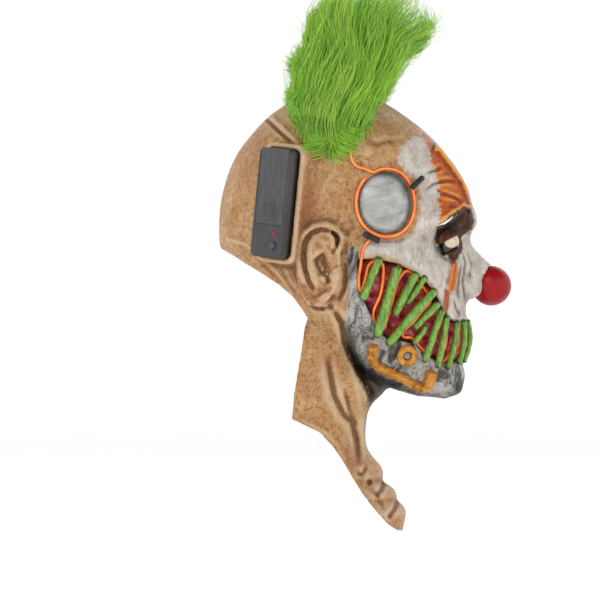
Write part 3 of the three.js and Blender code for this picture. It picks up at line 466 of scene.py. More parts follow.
# Cheek, under the eye and beside the snout.
stroke([(346, 247), (362, 249), (382, 250), (402, 254), (420, 264), (436, 280), (446, 294)], 5.5, 2.0)
stroke([(362, 245), (378, 242.5), (398, 242), (412, 236)], 2.2, -1.0)
stroke([(444, 250), (450, 260), (455, 264)], 2.2, -1.5)
stroke([(458.5, 262.7), (457, 279), (453, 293.4)], 1.5, 1.9, taper=0.04)
stroke([(453.4, 263), (451.4, 280), (448.4, 293)], 1.5, 1.9, taper=0.04)
stroke([(462, 248), (466, 262), (463, 282), (466, 298)], 1.4, -1.3, side=(8, 14))
stroke([(467, 250), (472, 264), (470, 280)], 1.3, -0.9, side=(8, 14))
stroke([(461, 265), (459, 278), (458, 290), (459, 304)], 1.5, -1.7, side=(10, 16))
stroke([(446, 300), (448, 312), (450, 320)], 1.5, -1.2)
stroke([(453, 296), (456, 308), (462, 318)], 1.5, -1.5)
stroke([(470, 268), (478, 276), (480, 288)], 3.2, 1.2, side=(5, 12))
# Scar with its ridge, over the back of the crown.
stroke([(262, 114), (275, 128), (288, 141), (299, 152)], 1.5, -2.6, side=(6, 14), taper=0.08)
stroke([(268, 114), (281, 128), (294, 141), (303, 150)], 2.4, 1.6, side=(6, 14), taper=0.08)
# Behind the ear and on the back of the head.
stroke([(290, 296), (284, 284), (270, 270), (256, 262)], 2.2, -0.9)
stroke([(300, 300), (292, 290), (284, 276), (280, 266)], 2.0, -1.0)
stroke([(268, 262), (280, 267), (292, 268)], 2.0, -0.8)
stroke([(330, 176), (322, 200), (318, 222)], 6, 1.2)
stroke([(345, 236), (352, 228), (350, 215)], 3.5, -1.2)
stroke([(224, 238), (246, 245), (262, 258), (280, 278), (294, 296)], 2.0, 0.8, taper=0.05)
print("creases are pressed in")

# %% [markdown]
# ## The open mouth
# The mouth is a wide gash that runs round the face. Its outline is pressed down to a floor, its rim
# swells into a lip, and the floor is lumpy like raw flesh.

# %% Mouth
GASH = [
    (0.12, 0.55), (0.26, 0.548), (0.4, 0.562), (0.51, 0.585), (0.61, 0.617), (0.68, 0.65), (0.725, 0.69),
    (0.77, 0.73), (0.83, 0.748), (1.05, 0.752), (1.05, 0.862), (0.89, 0.872), (0.8, 0.888), (0.71, 0.88),
    (0.62, 0.858), (0.54, 0.823), (0.44, 0.812), (0.34, 0.806), (0.27, 0.78), (0.225, 0.735),
    (0.175, 0.69), (0.125, 0.65),
]
GASH_LINE = [at_share(*p) for p in GASH]


def lumps(size, seed):
    """Smooth random values between -1 and 1 over the clay's grid, in lumps of that size."""
    rng = np.random.default_rng(seed)
    steps = [int(c * VOXEL / size) + 3 for c in COUNT]
    block = rng.uniform(-1, 1, steps).astype(np.float32)
    for axis in range(3):
        at = np.arange(COUNT[axis]) * VOXEL / size
        low = at.astype(int)
        t = at - low
        t = (t * t * (3 - 2 * t)).astype(np.float32)
        shape = [1, 1, 1]
        shape[axis] = -1
        block = np.take(block, low, axis) * (1 - t.reshape(shape)) + np.take(block, low + 1,
            axis) * t.reshape(shape)
    return block


before_mouth = clay.copy()
gash = press(GASH_LINE, 6.5, 0.0, side=(-2, -1), grid=False, blend=2.5, lips=1.0)
inside_gash = np.clip(-gash / 3, 0, 1)
clay -= inside_gash * (1.5 * lumps(7, 3) + 0.8 * lumps(3.6, 4))
print("mouth is open")

# %% [markdown]
# ## Eyes, ears and the pack's pocket
# Each eye sits in a socket with a heavy lid. The ear is one rounded plate whose rims and hollows are
# drawn as strokes. The pocket for the pack is a rounded block that flows out of the skin.

# %% Eye sockets and lids
EYE = Vector((-33, -92.7, -133.3))
EYE_RADIUS = 12.5
eye_far = np.sqrt((X - EYE.x) ** 2 + (Y - EYE.y) ** 2 + (Z - EYE.z) ** 2)
lid_tilt = math.radians(28)
above_lid = (Z - EYE.z) * math.cos(lid_tilt) + (Y - EYE.y) * math.sin(lid_tilt)
lid = np.maximum(eye_far - EYE_RADIUS - 2.2, -above_lid + 0.5)
under_lid = np.maximum(eye_far - EYE_RADIUS - 1.6, above_lid + 9.0)
lids = joined(lid, under_lid, 3)
clay = joined(clay, lids, 2.0)
print("lids are on")

# %% [markdown]
# ## Ears
# An ear is a rounded block that leans out from the head. Its rim, folds and hollow are strokes.

# %% Ears
EAR = dict(centre=skin(-0.161, 0.569) + Vector((-8, 0, 0)), half=(7.5, 21, 38), turn=24)


def ear_block():
    c, half = EAR["centre"], EAR["half"]
    turn = math.radians(EAR["turn"])
    x, y, z = X - c.x, Y - c.y, Z - c.z
    lean = math.radians(-4)
    y, z = y * math.cos(lean) - z * math.sin(lean), y * math.sin(lean) + z * math.cos(lean)
    across = x * math.cos(turn) - y * math.sin(turn)
    along = x * math.sin(turn) + y * math.cos(turn)
    narrow = 1 - 0.2 * np.clip((-z - 4) / half[2], 0, 1)
    q = np.sqrt((across / half[0]) ** 2 + (along / (half[1] * narrow)) ** 2 + (z / half[2]) ** 2)
    slope = np.sqrt((across / half[0] ** 2) ** 2 + (along / half[1] ** 2) ** 2 + (z / half[2] ** 2) ** 2)
    return (q * (q - 1) / np.maximum(slope, 1e-3)).astype(np.float32)


root = np.sqrt(((X - EAR["centre"].x - 8) / 12) ** 2 + ((Y - EAR["centre"].y + 5) / 13) ** 2
    + ((Z - EAR["centre"].z) / 28) ** 2)
ear = joined(ear_block(), (root - 1) * 11, 5)
clay = joined(clay, ear, 5)
OUT = (62, 80)
# The rolled rim, its groove, the inner fold, the bowl with its notch, the small flap and the lobe.
stroke([(334, 253), (341, 247), (342, 238), (336, 229), (326, 225.5), (314, 227), (304, 234), (298, 246),
    (297, 260), (300, 273), (305, 285)],
       3.0, 2.6, side=OUT, taper=0.12)
stroke([(331, 255), (336, 248), (336, 239), (330, 232), (321, 230), (311, 234), (305, 243), (303.5, 256),
    (305, 270), (309, 282), (314, 291)],
       2.0, -3.4, side=OUT, taper=0.1)
stroke([(312, 240), (309.5, 252), (310, 264), (313, 276), (319, 288)], 3.0, 2.4, side=OUT)
stroke([(312, 240), (320, 241), (328, 246)], 3.0, 1.0, side=OUT)
stroke([(317, 256), (321, 261), (324, 268), (326, 277)], 5.0, -6.0, side=OUT, taper=0.15)
stroke([(316, 262), (320, 268), (324, 272)], 3.0, -3.0, side=OUT)
stroke([(324, 271), (327, 278), (328.5, 284)], 1.9, -4.5, side=OUT)
stroke([(335, 268), (337, 276), (336, 286), (334, 296)], 4.6, 3.6, side=OUT, taper=0.3)
stroke([(322, 294), (326, 301)], 6.0, 2.0, side=OUT)
stroke([(345, 262), (345.5, 276), (344, 288), (338, 301)], 2.0, -3.2, side=(50, 62), taper=0.15)
stroke([(309, 304), (318, 309), (330, 307.5)], 1.8, -2.2, side=(50, 62))
stroke([(330, 306), (331, 307.5)], 2.2, -3.5, side=(50, 62), taper=0)
stroke([(352, 251), (355, 252)], 3.2, 1.8, side=(50, 62), taper=0)
print("ears are modelled")

# %% [markdown]
# ## Jaw, throat and bib
# Under the jaw the latex falls in folds to a bib that the wearer tucks in. The folds are long strokes.

# %% Jaw, throat and bib
clay = joined(clay, bib, 6)
stroke([(333, 309), (341, 322), (345, 341), (352, 358), (361, 373), (369, 389), (373, 402)], 3.0, -5.5,
    side=(16, 30), taper=0.12)
stroke([(349, 312), (352, 334), (360, 354), (372, 371), (392, 384)], 5.0, 1.5, side=(16, 28))
stroke([(374, 376), (394, 387), (416, 396), (436, 401), (452, 399)], 4.0, 1.6, side=(6, 16))
stroke([(446, 392), (456, 391), (463, 386)], 3.5, 1.2, side=(2, 8))
stroke([(327, 352), (330, 372), (334, 394), (343, 413), (352, 423), (357, 442), (359, 466)], 3.2, -3.2,
    side=(16, 30), taper=0.18)
stroke([(318, 350), (321, 374), (326, 398), (338, 418), (348, 432)], 5.0, 1.5, side=(16, 30))
stroke([(344, 386), (349, 409), (357, 427)], 2.6, -2.0, side=(16, 30))
stroke([(352, 360), (357, 388), (362, 416), (365, 446), (364, 462)], 4.6, 1.9, side=(16, 30))
stroke([(356, 472), (362, 474), (368, 464)], 2.0, -1.6, side=(14, 24))
stroke([(384.5, 483), (381, 490), (375, 496)], 2.4, -2.6, side=(4, 12), taper=0.15)
stroke([(398.5, 502), (394, 510), (387, 518)], 2.4, -2.4, side=(4, 12), taper=0.15)
stroke([(362, 482), (372, 490), (379, 500), (386, 512)], 2.6, -1.2, side=(14, 24))
stroke([(300, 419), (308, 423), (325, 432), (336, 443), (346, 461)], 2.4, 0.8, side=(14, 24), taper=0.1)
for hole, width, deep in [((369, 482), 2.2, -3.4)]:
    stroke([hole, (hole[0] + 0.3, hole[1])], width, deep, side=(14, 24), taper=0)
jaw_region = outline_distance([at_grid(*p) for p in [
    (346, 300), (357, 300), (372, 330), (400, 348), (470, 372), (470, 402), (400, 394), (352, 360),
    (344, 330),
]], SIDE_U, SIDE_V)[None]
crumple = 0.75 * lumps(4.2, 11) + 0.5 * lumps(2.6, 12)
clay -= crumple * np.clip(0.5 - jaw_region / 6, 0, 1) * np.clip(gash / 2, 0, 1) * window(8, 20)
print("throat and bib are folded")

# %% [markdown]
# ## Front of the face
# The photo shows only the side. The front gets a nostril, a wing to the nose and a few brow wrinkles.

# %% Front of the face
front_stroke([(0, -100), (0, -122)], 3.0, 1.2)
front_stroke([(5, -98), (6.5, -112)], 1.8, -1.6)
front_stroke([(-9, -168), (-14, -173), (-13, -180)], 2.4, -2.2)
nostril = np.sqrt(((X + 7.5) / 4.2) ** 2 + ((Y + 127) / 6.0) ** 2 + ((Z + 181) / 3.4) ** 2)
clay = carved(clay, (nostril - 1) * 3.4, 2.0)
wing = np.sqrt(((X + 15.5) / 7) ** 2 + ((Y + 117) / 9) ** 2 + ((Z + 173) / 9) ** 2)
clay = joined(clay, (wing - 1) * 7, 4)
for row in range(3):
    line = [(-30, -58 - row * 11), (-18, -55 - row * 11), (-6, -57 - row * 11), (0, -58 - row * 11)]
    front_stroke(line, 1.7, -1.2)
front_stroke([(-22, -186), (-25, -196), (-24, -204)], 2.4, -1.0)
print("front is worked")

# %% [markdown]
# ## The pack's pocket and the cuts
# The latex is cast hollow. Its inside follows a smoothed copy of the outside, one wall in from it. The
# nape and the bib are trimmed on a line, slits are cut to see through, and each piece that is set into
# the skin gets a seat.

# %% Case frame, pocket and both sides joined
CASE = dict(height=95, width=31, depth=18.5, corner=5, lean=6.5, turn=30, standOff=2.5)
turn, lean = math.radians(CASE["turn"]), math.radians(CASE["lean"])
case_out = Vector((-math.cos(turn), math.sin(turn), 0))
case_up = Matrix.Rotation(-lean, 3, case_out) @ Vector((0, 0, 1))
case_across = case_up.cross(case_out).normalized()
case_centre = skin(-0.416, 0.373) + case_out * CASE["standOff"]
case_frame = Matrix((case_across, case_up, case_out)).transposed().to_4x4()
case_frame.translation = case_centre


def rounded_block(x, y, z, half, corner, low, high, edge=1.0):
    """Distance to an upright rounded block in its own frame."""
    qx = np.maximum(np.abs(x) - half[0] + corner, 0)
    qy = np.maximum(np.abs(y) - half[1] + corner, 0)
    flat = np.hypot(qx, qy) - corner
    tall = np.maximum(low - z, z - high)
    flat, tall = flat + edge, tall + edge
    return np.minimum(np.maximum(flat, tall), 0) + np.hypot(np.maximum(flat, 0), np.maximum(tall, 0)) - edge


def mirrored(block):
    return np.concatenate([block, block[-2::-1]], axis=0)


clay = mirrored(clay)
gash_full = gash
gx = (np.arange(-HALF_X, HALF_X + 1) * VOXEL).astype(np.float32)
X = gx[:, None, None]
case_x = (X - case_centre.x) * case_across.x + (Y - case_centre.y) * case_across.y + (Z
    - case_centre.z) * case_across.z
case_y = (X - case_centre.x) * case_up.x + (Y - case_centre.y) * case_up.y + (Z - case_centre.z) * case_up.z
case_z = (X - case_centre.x) * case_out.x + (Y - case_centre.y) * case_out.y + (Z
    - case_centre.z) * case_out.z
half_case = (CASE["width"] / 2, CASE["height"] / 2)
pocket = rounded_block(case_x, case_y, case_z, (half_case[0] + 4.6, half_case[1] + 4.6), 8, -30, 4.2, 2.2)
pocket = np.maximum(pocket, -case_z - 18.5)
clay = joined(clay, pocket, 5)


def softened(block, steps):
    """Block averaged over a few grid steps each way, twice."""
    for _ in range(2):
        for axis in range(3):
            pad = [(0, 0)] * 3
            pad[axis] = (steps + 1, steps)
            total = np.cumsum(np.pad(block, pad, mode="edge"), axis=axis, dtype=np.float64)
            low = [slice(None)] * 3
            high = [slice(None)] * 3
            low[axis] = slice(0, -2 * steps - 1)
            high[axis] = slice(2 * steps + 1, None)
            block = ((total[tuple(high)] - total[tuple(low)]) / (2 * steps + 1)).astype(np.float32)
    return block


TRIM_HEAD = [
    (-1.3, 0.514), (-0.87, 0.514), (-0.79, 0.534), (-0.69, 0.563), (-0.57, 0.595), (-0.44, 0.633),
    (-0.34, 0.672), (-0.27, 0.714), (-0.235, 0.74),
]
TRIM_BIB = [
    (-0.53, 0.12), (-0.565, 0.2), (-0.63, 0.31), (-0.69, 0.41), (-0.72, 0.51), (-0.5, 0.54),
    (-0.3, 0.567), (-0.1, 0.63), (0.04, 0.69), (0.18, 0.76), (0.33, 0.83), (0.49, 0.89), (0.69, 0.957),
    (0.84, 0.991), (0.93, 1.002), (1.3, 1.01), (1.3, 1.3), (-2.6, 1.3),
]


def at_bib(forward, down):
    return -forward * BIB["reach"], WALL - BIB_TOP * HEAD["height"] - down * BIB["length"]


trim = outline_distance([at_share(*p) for p in TRIM_HEAD] + [at_bib(*p) for p in TRIM_BIB], SIDE_U, SIDE_V)
outer = clay
soft_form = softened(np.maximum(outer, -8), 2)
h = np.maximum(1.5 - np.abs(soft_form - outer), 0) / 1.5
inner_form = np.maximum(soft_form, outer) + h * h * 0.375
latex = np.maximum(outer, -(inner_form + WALL))
h = np.maximum(1.2 - np.abs(latex + trim[None]), 0) / 1.2
latex = np.maximum(latex, -trim[None]) + h * h * 0.3
case_seat = rounded_block(case_x, case_y, case_z, (half_case[0] + 0.6, half_case[1] + 0.6), 5.6, -0.6, 60,
    0.5)
latex = carved(latex, case_seat, 0.8)


def outward(forward, down):
    """Direction straight out of the shaped face, on the right side."""
    step = 0.004
    a = surface(forward + step, down) - surface(forward - step, down)
    b = surface(forward, down + step) - surface(forward, down - step)
    n = a.cross(b).normalized()
    return -n if n.x > 0 else n


def surface(forward, down):
    """Point of the shaped face, before the mouth and the small forms."""
    p = skin(forward, down)
    _, axis, front, _, half = head_section(down)
    n = Vector((p.x / half ** 2, (p.y - axis) / (front - axis) ** 2, 0)).normalized()
    return p + n * rise(p)


def above(forward, down, height=0.0):
    return surface(forward, down) + outward(forward, down) * height


def lying(forward, down, height=0.0):
    """Frame of a piece on the right cheek: x forwards, y up the face, z outwards."""
    out = outward(forward, down)
    up = (Vector((0, 0, 1)) - out * out.z).normalized()
    ahead = up.cross(out).normalized()
    m = Matrix((ahead, up, out)).transposed().to_4x4()
    m.translation = above(forward, down, height)
    return m


slit_frame = lying(0.795, 0.43).inverted()
ax = -np.abs(X)
sx, sy, sz = (slit_frame[i][0] * ax + slit_frame[i][1] * Y + slit_frame[i][2] * Z
    + slit_frame[i][3] for i in range(3))
tilt = math.radians(34)
su, sv = sx * math.cos(tilt) + sy * math.sin(tilt), -sx * math.sin(tilt) + sy * math.cos(tilt)
slit = rounded_block(su, sv, sz, (12, 3.5), 3.4, -20, 10, 0.4)
latex = carved(latex, slit, 0.8)
eye_gap = np.sqrt((np.abs(X) + EYE.x) ** 2 + (Y - EYE.y) ** 2 + (Z - EYE.z) ** 2) - EYE_RADIUS - 0.4
eye_gap = np.maximum(eye_gap, Y - EYE.y - 3.2)
latex = np.minimum(latex, np.maximum(np.maximum(eye_gap - 3.2, Y - EYE.y - 6), outer))
latex = np.maximum(latex, -eye_gap)
BALL = Vector((0, *at_share(1.113, 0.634)))
ball_gap = np.sqrt((X - BALL.x) ** 2 + (Y - BALL.y) ** 2 + (Z - BALL.z) ** 2) - 35.5 / 2 - 0.3
latex = np.maximum(latex, -ball_gap)
print("latex wall", WALL, "mm")

# %% [markdown]
# ## From clay to a mesh
# The field's zero surface becomes the mesh. Loose crumbs go, and flat stretches get fewer faces.

# %% Skin of the latex as a mesh
def skinned(name, block):
    """Mesh of the zero surface of a block of the whole grid, facing outwards."""
    level = vdb.FloatGrid(6.0)
    level.transform = grid_scale
    level.copyFromArray(np.clip(block, -6, 6).astype(np.float32), ijk=FIRST, tolerance=0.0)
    points, quads = level.convertToQuads(0.0)
    mesh = bpy.data.meshes.new(name)
    mesh.from_pydata((points * MM).tolist(), [], quads[:, ::-1].tolist())
    return mesh


mask = bpy.data.objects.new("latex_mask", skinned("latex_mask", latex))
scene.collection.objects.link(mask)
print("faces at first", len(mask.data.polygons))


def applied(obj):
    """Replaces an object's mesh by the result of its modifiers, and removes them."""
    bpy.context.view_layer.update()
    result = bpy.data.meshes.new_from_object(obj.evaluated_get(bpy.context.evaluated_depsgraph_get()))
    obj.modifiers.clear()
    obj.data = result
    result.name = obj.name
    return obj


def keep_largest(mesh):
    """Drops loose crumbs, so that one piece of latex is left."""
    bm = bmesh.new()
    bm.from_mesh(mesh)
    seen, groups = set(), []
    for vert in bm.verts:
        if vert in seen:
            continue
        group, todo = [], [vert]
        seen.add(vert)
        while todo:
            v = todo.pop()
            group.append(v)
            for edge in v.link_edges:
                o = edge.other_vert(v)
                if o not in seen:
                    seen.add(o)
                    todo.append(o)
        groups.append(group)
    groups.sort(key=len)
    for group in groups[:-1]:
        bmesh.ops.delete(bm, geom=group, context="VERTS")
    bm.to_mesh(mesh)
    bm.free()
    return len(groups)


print("lumps of latex", keep_largest(mask.data))
thin = mask.modifiers.new("thin", "DECIMATE")
thin.ratio = min(1.0, 97000 / len(mask.data.polygons))
applied(mask)
mask.data.shade_smooth()
print("faces", len(mask.data.polygons), "box",
    [tuple(round(c, 4) for c in v) for v in (Vector(mask.bound_box[0]), Vector(mask.bound_box[6]))])

# %% [markdown]
# ## Paint map
# A maker paints the bare latex in layers: white over the face, orange at the brow, silver-grey on the
# jaw, dark brown in the sockets, and a brown wash in the creases. The finish adds painted shade in
# creases, broad hollows and under the jaw, and painted highlights on ridges. Each painted area is an
# outline on the side view. Its distance is kept at each point of the mesh, so that the material can
# break the edge up into brush strokes much finer than the mesh.

# %% Areas of paint
PAINT = {  # outline on the side view, softness of its edge in millimetres
    "white": ([(362, 246), (372, 242), (386, 243), (400, 241), (411, 234), (417, 224), (420, 207), (420, 192),
               (414, 180), (403, 172), (398, 162), (400, 150), (408, 141), (420, 136), (430, 140), (450, 165),
               (468, 196), (500, 240), (500, 300), (480, 325), (450, 324), (440, 308), (436, 292), (425, 278),
               (410, 268), (395, 260), (378, 256), (362, 255)], 8),
    "orange": ([(419, 129), (428, 133), (441, 144), (456, 162), (468, 182), (476, 200), (476, 208),
    (466, 207),
                (450, 216), (437, 227), (439, 214), (438, 200), (438, 186), (435, 172), (430, 160),
                (428, 150),
                (424, 140)], 8),
    "brown": ([(463, 206), (472, 208), (476, 220), (473, 229), (466, 233), (462, 237), (464, 248), (460, 256),
               (456, 262), (451, 260), (443, 250), (436, 243), (435, 236), (437, 227), (449, 216.5)], 5),
    "tear": ([(451, 257), (458, 262), (459, 274), (455, 290), (449, 294), (447, 283), (450, 270)], 4),
    "drip": ([(444, 288), (449, 290), (450, 300), (448, 312), (449, 320), (445, 318), (443, 302)], 3),
    "grey": ([(346, 252), (352, 246), (358, 252), (361, 290), (372, 316), (384, 332), (412, 336), (438, 356),
              (475, 368), (478, 410), (440, 404), (400, 391), (376, 384), (364, 378), (352, 360), (346, 345),
              (344, 320), (349, 300)], 6),
    # under_jaw_shade: painted shade along the underside of the jaw.
    "under_jaw_shade": ([(345, 326), (352, 322), (356, 345), (366, 366), (392, 380), (424, 394), (446, 397), (470, 374),
              (474, 410), (420, 404), (396, 392), (372, 384), (356, 372), (346, 352)], 9),
    "shadow": ([(350, 350), (358, 364), (380, 376), (404, 384), (398, 394), (384, 396), (374, 410),
    (370, 412),
                (366, 392), (354, 372)], 5),
}
mask_points = np.empty(len(mask.data.vertices) * 3, dtype=np.float32)
mask.data.vertices.foreach_get("co", mask_points)
mask_points = mask_points.reshape(-1, 3) / MM


def at_points(block, points, first):
    """Values of a block of the grid at points, by linear blending."""
    place = points / VOXEL - np.array(first, dtype=np.float32)
    low = np.clip(place.astype(int), 0, np.array(block.shape) - 2)
    t = np.clip(place - low, 0, 1)
    total = np.zeros(len(points), dtype=np.float32)
    for corner in range(8):
        d = [(corner >> k) & 1 for k in range(3)]
        share = np.ones(len(points), dtype=np.float32)
        for k in range(3):
            share *= t[:, k] if d[k] else 1 - t[:, k]
        total += share * block[low[:, 0] + d[0], low[:, 1] + d[1], low[:, 2] + d[2]]
    return total


def keep_values(mesh, name, values):
    """Stores one number at each point of a mesh."""
    attribute = mesh.attributes.new(name, "FLOAT", "POINT")
    attribute.data.foreach_set("value", np.ascontiguousarray(values, dtype=np.float32))


def area(outline, soft, u, v):
    """1 inside an outline, 0 outside, and one half on it."""
    line = [at_grid(*p) for p in outline]
    return np.clip(0.5 - outline_distance(line, u, v) / (2 * soft), 0, 1)


pu, pv, pa = mask_points[:, 1], mask_points[:, 2], np.abs(mask_points[:, 0])
layers = {name: area(outline, soft, pu, pv) for name, (outline, soft) in PAINT.items()}
ahead = np.clip((-50 - pu) / 20, 0, 1)
# What the side view doesn't show: the middle of the brow, the far side of the strips, under the chin.
middle = np.clip((22 - pa) / 12, 0, 1)
layers["white"] = np.maximum(layers["white"], np.clip(0.5 + (-70 - pu) / 16, 0,
    1) * (pv < -25) * (pv > -205) * (pa < 40))
layers["orange"] = layers["orange"] * (1 - 0.95 * middle * (pv > -103))
layers["brown"] = layers["brown"] * np.clip((pa - 9) / 6, 0, 1)
shadow_side = np.clip((64 - pa) / 10, 0, 1)
layers["shadow"] = layers["shadow"] * shadow_side
flesh = np.clip(0.5 - at_points(mirrored(np.broadcast_to(gash_full, COUNT)), mask_points, FIRST) / 6, 0, 1)
layers["flesh"] = flesh * np.clip(-at_points(mirrored(before_mouth), mask_points, FIRST) / 2.5 - 0.1, 0, 1)
soft_outer = softened(outer, 1)
broad_outer = softened(outer, 4)
# How deep a point lies in a fine crease or a broad hollow; the finish uses it for painted shade and
# highlight.
layers["crease"] = np.clip(-at_points(soft_outer - outer, mask_points, FIRST) / 0.55, -1, 1)
layers["hollow"] = np.clip(-at_points(broad_outer - outer, mask_points, FIRST) / 2.5, -1, 1)
layers["inside"] = np.clip((-at_points(outer, mask_points, FIRST) - 0.9) / 0.6, 0, 1)
for name, values in layers.items():
    keep_values(mask.data, name, values)
print("paint layers", list(layers))

# %% [markdown]
# ## Finishes as node trees
# A finish is a small graph of nodes. These helpers add one node each and return its output, so that a
# finish reads from top to bottom like a recipe. Patterns use Object coordinates, in metres, so they sit
# still on the piece.

# %% Helpers for finishes
def linear(r, g, b):
    """Colour of a paint chip, 0 to 255, as the renderer's linear values."""
    return tuple((c / 255 / 12.92) if c <= 10 else ((c / 255 + 0.055) / 1.055) ** 2.4 for c in (r, g,
        b)) + (1,)


def put(tree, kind, values, out=0, **settings):
    """Adds a node, sets or links its inputs, and returns one output."""
    node = tree.nodes.new(kind)
    for key, value in settings.items():
        setattr(node, key, value)
    for key, value in values.items():
        if isinstance(value, bpy.types.NodeSocket):
            tree.links.new(value, node.inputs[key])
        else:
            node.inputs[key].default_value = value
    return node.outputs[out]


def calc(tree, operation, a, b=0.0, clamp=False):
    return put(tree, "ShaderNodeMath", {0: a, 1: b}, operation=operation, use_clamp=clamp)


def level(tree, value, low, high, to_low=0.0, to_high=1.0):
    """Spreads low..high over to_low..to_high, with ends held."""
    return put(tree, "ShaderNodeMapRange", {0: value, 1: low, 2: high, 3: to_low, 4: to_high})


def blend(tree, share, a, b, mode="MIX"):
    return put(tree, "ShaderNodeMix", {0: share, 6: a, 7: b}, out=2, data_type="RGBA", blend_type=mode)


def places(tree, stretch=(1, 1, 1), turn=(0, 0, 0)):
    """Object coordinates, stretched and turned."""
    raw = put(tree, "ShaderNodeTexCoord", {}, out=3)
    angles = tuple(math.radians(a) for a in turn)
    return put(tree, "ShaderNodeMapping", {0: raw, 2: angles, 3: stretch})


def mottle(tree, at, scale, detail=4.0, rough=0.55, bend=0.0):
    return put(tree, "ShaderNodeTexNoise", {0: at, 2: scale, 3: detail, 4: rough, "Distortion": bend})


def layer(tree, name):
    """A paint layer's value, kept on the mesh."""
    return put(tree, "ShaderNodeAttribute", {}, out=2, attribute_name=name)


def new_finish(name):
    """An empty finish with its Principled shader."""
    made = bpy.data.materials.new(name)
    made.use_nodes = True
    return made, made.node_tree, made.node_tree.nodes["Principled BSDF"]


def feed(tree, shader, **inputs):
    """Sets or links the shader's sockets; underscores stand for spaces."""
    for key, value in inputs.items():
        socket = shader.inputs[key.replace("_", " ")]
        if isinstance(value, bpy.types.NodeSocket):
            tree.links.new(value, socket)
        else:
            socket.default_value = value


def bumped(tree, height, depth, strength=1.0, normal=None):
    values = {"Strength": strength, "Distance": depth, "Height": height}
    if normal is not None:
        values["Normal"] = normal
    return put(tree, "ShaderNodeBump", values)


def effect(name, inputs, outputs):
    """A node group with named number inputs, and its two end nodes."""
    group = bpy.data.node_groups.new(name, "ShaderNodeTree")
    for label, value in inputs:
        kind = "NodeSocketVector" if value is None else "NodeSocketFloat"
        made = group.interface.new_socket(label, in_out="INPUT", socket_type=kind)
        if value is not None:
            made.default_value = value
    for label in outputs:
        group.interface.new_socket(label, in_out="OUTPUT", socket_type="NodeSocketFloat")
    return group, group.nodes.new("NodeGroupInput"), group.nodes.new("NodeGroupOutput")


# %% [markdown]
# ## Shared effects
# Two node groups serve several finishes: a ragged edge for paint, and pores with fine grain.

# %% Effects that several finishes share
ragged, r_in, r_out = effect("ragged_edge", [("Place", None), ("Value", 0.5), ("Size", 200.0),
    ("Raggedness", 0.4), ("Hardness", 8.0)], ["Mask"])
wander = mottle(ragged, r_in.outputs["Place"], r_in.outputs["Size"], 5, 0.6)
moved = calc(ragged, "MULTIPLY_ADD", calc(ragged, "SUBTRACT", wander, 0.5), r_in.outputs["Raggedness"])
ragged.links.new(r_in.outputs["Value"], moved.node.inputs[2])
sharp = calc(ragged, "MULTIPLY", calc(ragged, "SUBTRACT", moved, 0.5), r_in.outputs["Hardness"])
ragged.links.new(calc(ragged, "ADD", sharp, 0.5, clamp=True), r_out.inputs["Mask"])

pores, p_in, p_out = effect("pores_and_grain", [("Place", None), ("Size", 900.0), ("Amount", 1.0)],
    ["Height", "Mask"])
fine = mottle(pores, p_in.outputs["Place"], p_in.outputs["Size"], 3, 0.6)
cell = put(pores, "ShaderNodeTexVoronoi", {0: p_in.outputs["Place"], 2: calc(pores, "MULTIPLY",
    p_in.outputs["Size"], 0.45)}, feature="DISTANCE_TO_EDGE")
grainy = calc(pores, "ADD", calc(pores, "MULTIPLY", level(pores, cell, 0.0, 0.25), 0.6), fine)
pores.links.new(calc(pores, "MULTIPLY", grainy, p_in.outputs["Amount"]), p_out.inputs["Height"])
pores.links.new(level(pores, fine, 0.56, 0.74), p_out.inputs["Mask"])


def use(tree, group, values, out=0):
    node = tree.nodes.new("ShaderNodeGroup")
    node.node_tree = group
    for key, value in values.items():
        if isinstance(value, bpy.types.NodeSocket):
            tree.links.new(value, node.inputs[key])
        else:
            node.inputs[key].default_value = value
    return node.outputs[out]


print("effects", [g.name for g in (ragged, pores)])

# %% [markdown]
# ## Painted latex
# The real latex is cast in a skin tone and painted over. The finish repeats the painter's order: skin
# tone, wash, white, orange, jaw silver, sockets, flesh. Painted shade gathers in creases, hollows and
# under the jaw, and painted highlights sit on ridges. Most masks go through the ragged edge effect,
# with a pattern stretched along the stroke where the brush was dragged.

# %% The latex finish
latex_finish, t, shader = new_finish("painted_latex")
here = places(t)
across_strokes = places(t, (1, 0.22, 1.25), (-14, 0, 0))
down_strokes = places(t, (1, 1.3, 0.28))
hair_strokes = places(t, (1, 0.12, 1.6), (-10, 0, 0))


def rough_mask(value, at, size, raggedness, hardness):
    return use(t, ragged, {"Place": at, "Value": value, "Size": size, "Raggedness": raggedness,
        "Hardness": hardness})


crease, hollow = layer(t, "crease"), layer(t, "hollow")
broad = mottle(t, here, 38, 5, 0.6, 0.6)
speckle = mottle(t, here, 300, 6, 0.7, 0.8)
veins = mottle(t, here, 130, 6, 0.65, 2.2)
tan = blend(t, level(t, broad, 0.35, 0.65), linear(206, 168, 122), linear(186, 136, 84))
tan = blend(t, level(t, mottle(t, here, 16, 3), 0.5, 0.68, 0, 0.6), tan, linear(178, 112, 74))
tan = blend(t, level(t, speckle, 0.47, 0.66, 0, 0.8), tan, linear(116, 72, 36))
tan = blend(t, level(t, veins, 0.52, 0.62, 0, 0.3), tan, linear(112, 70, 38))
# Painted highlight: lighter tan on ridges, broken up by speckle.
pale = calc(t, "MULTIPLY", level(t, calc(t, "MULTIPLY", crease, -1), 0.08, 0.6), level(t, speckle, 0.3, 0.6))
tan = blend(t, calc(t, "MULTIPLY", pale, 0.7), tan, linear(226, 204, 172))
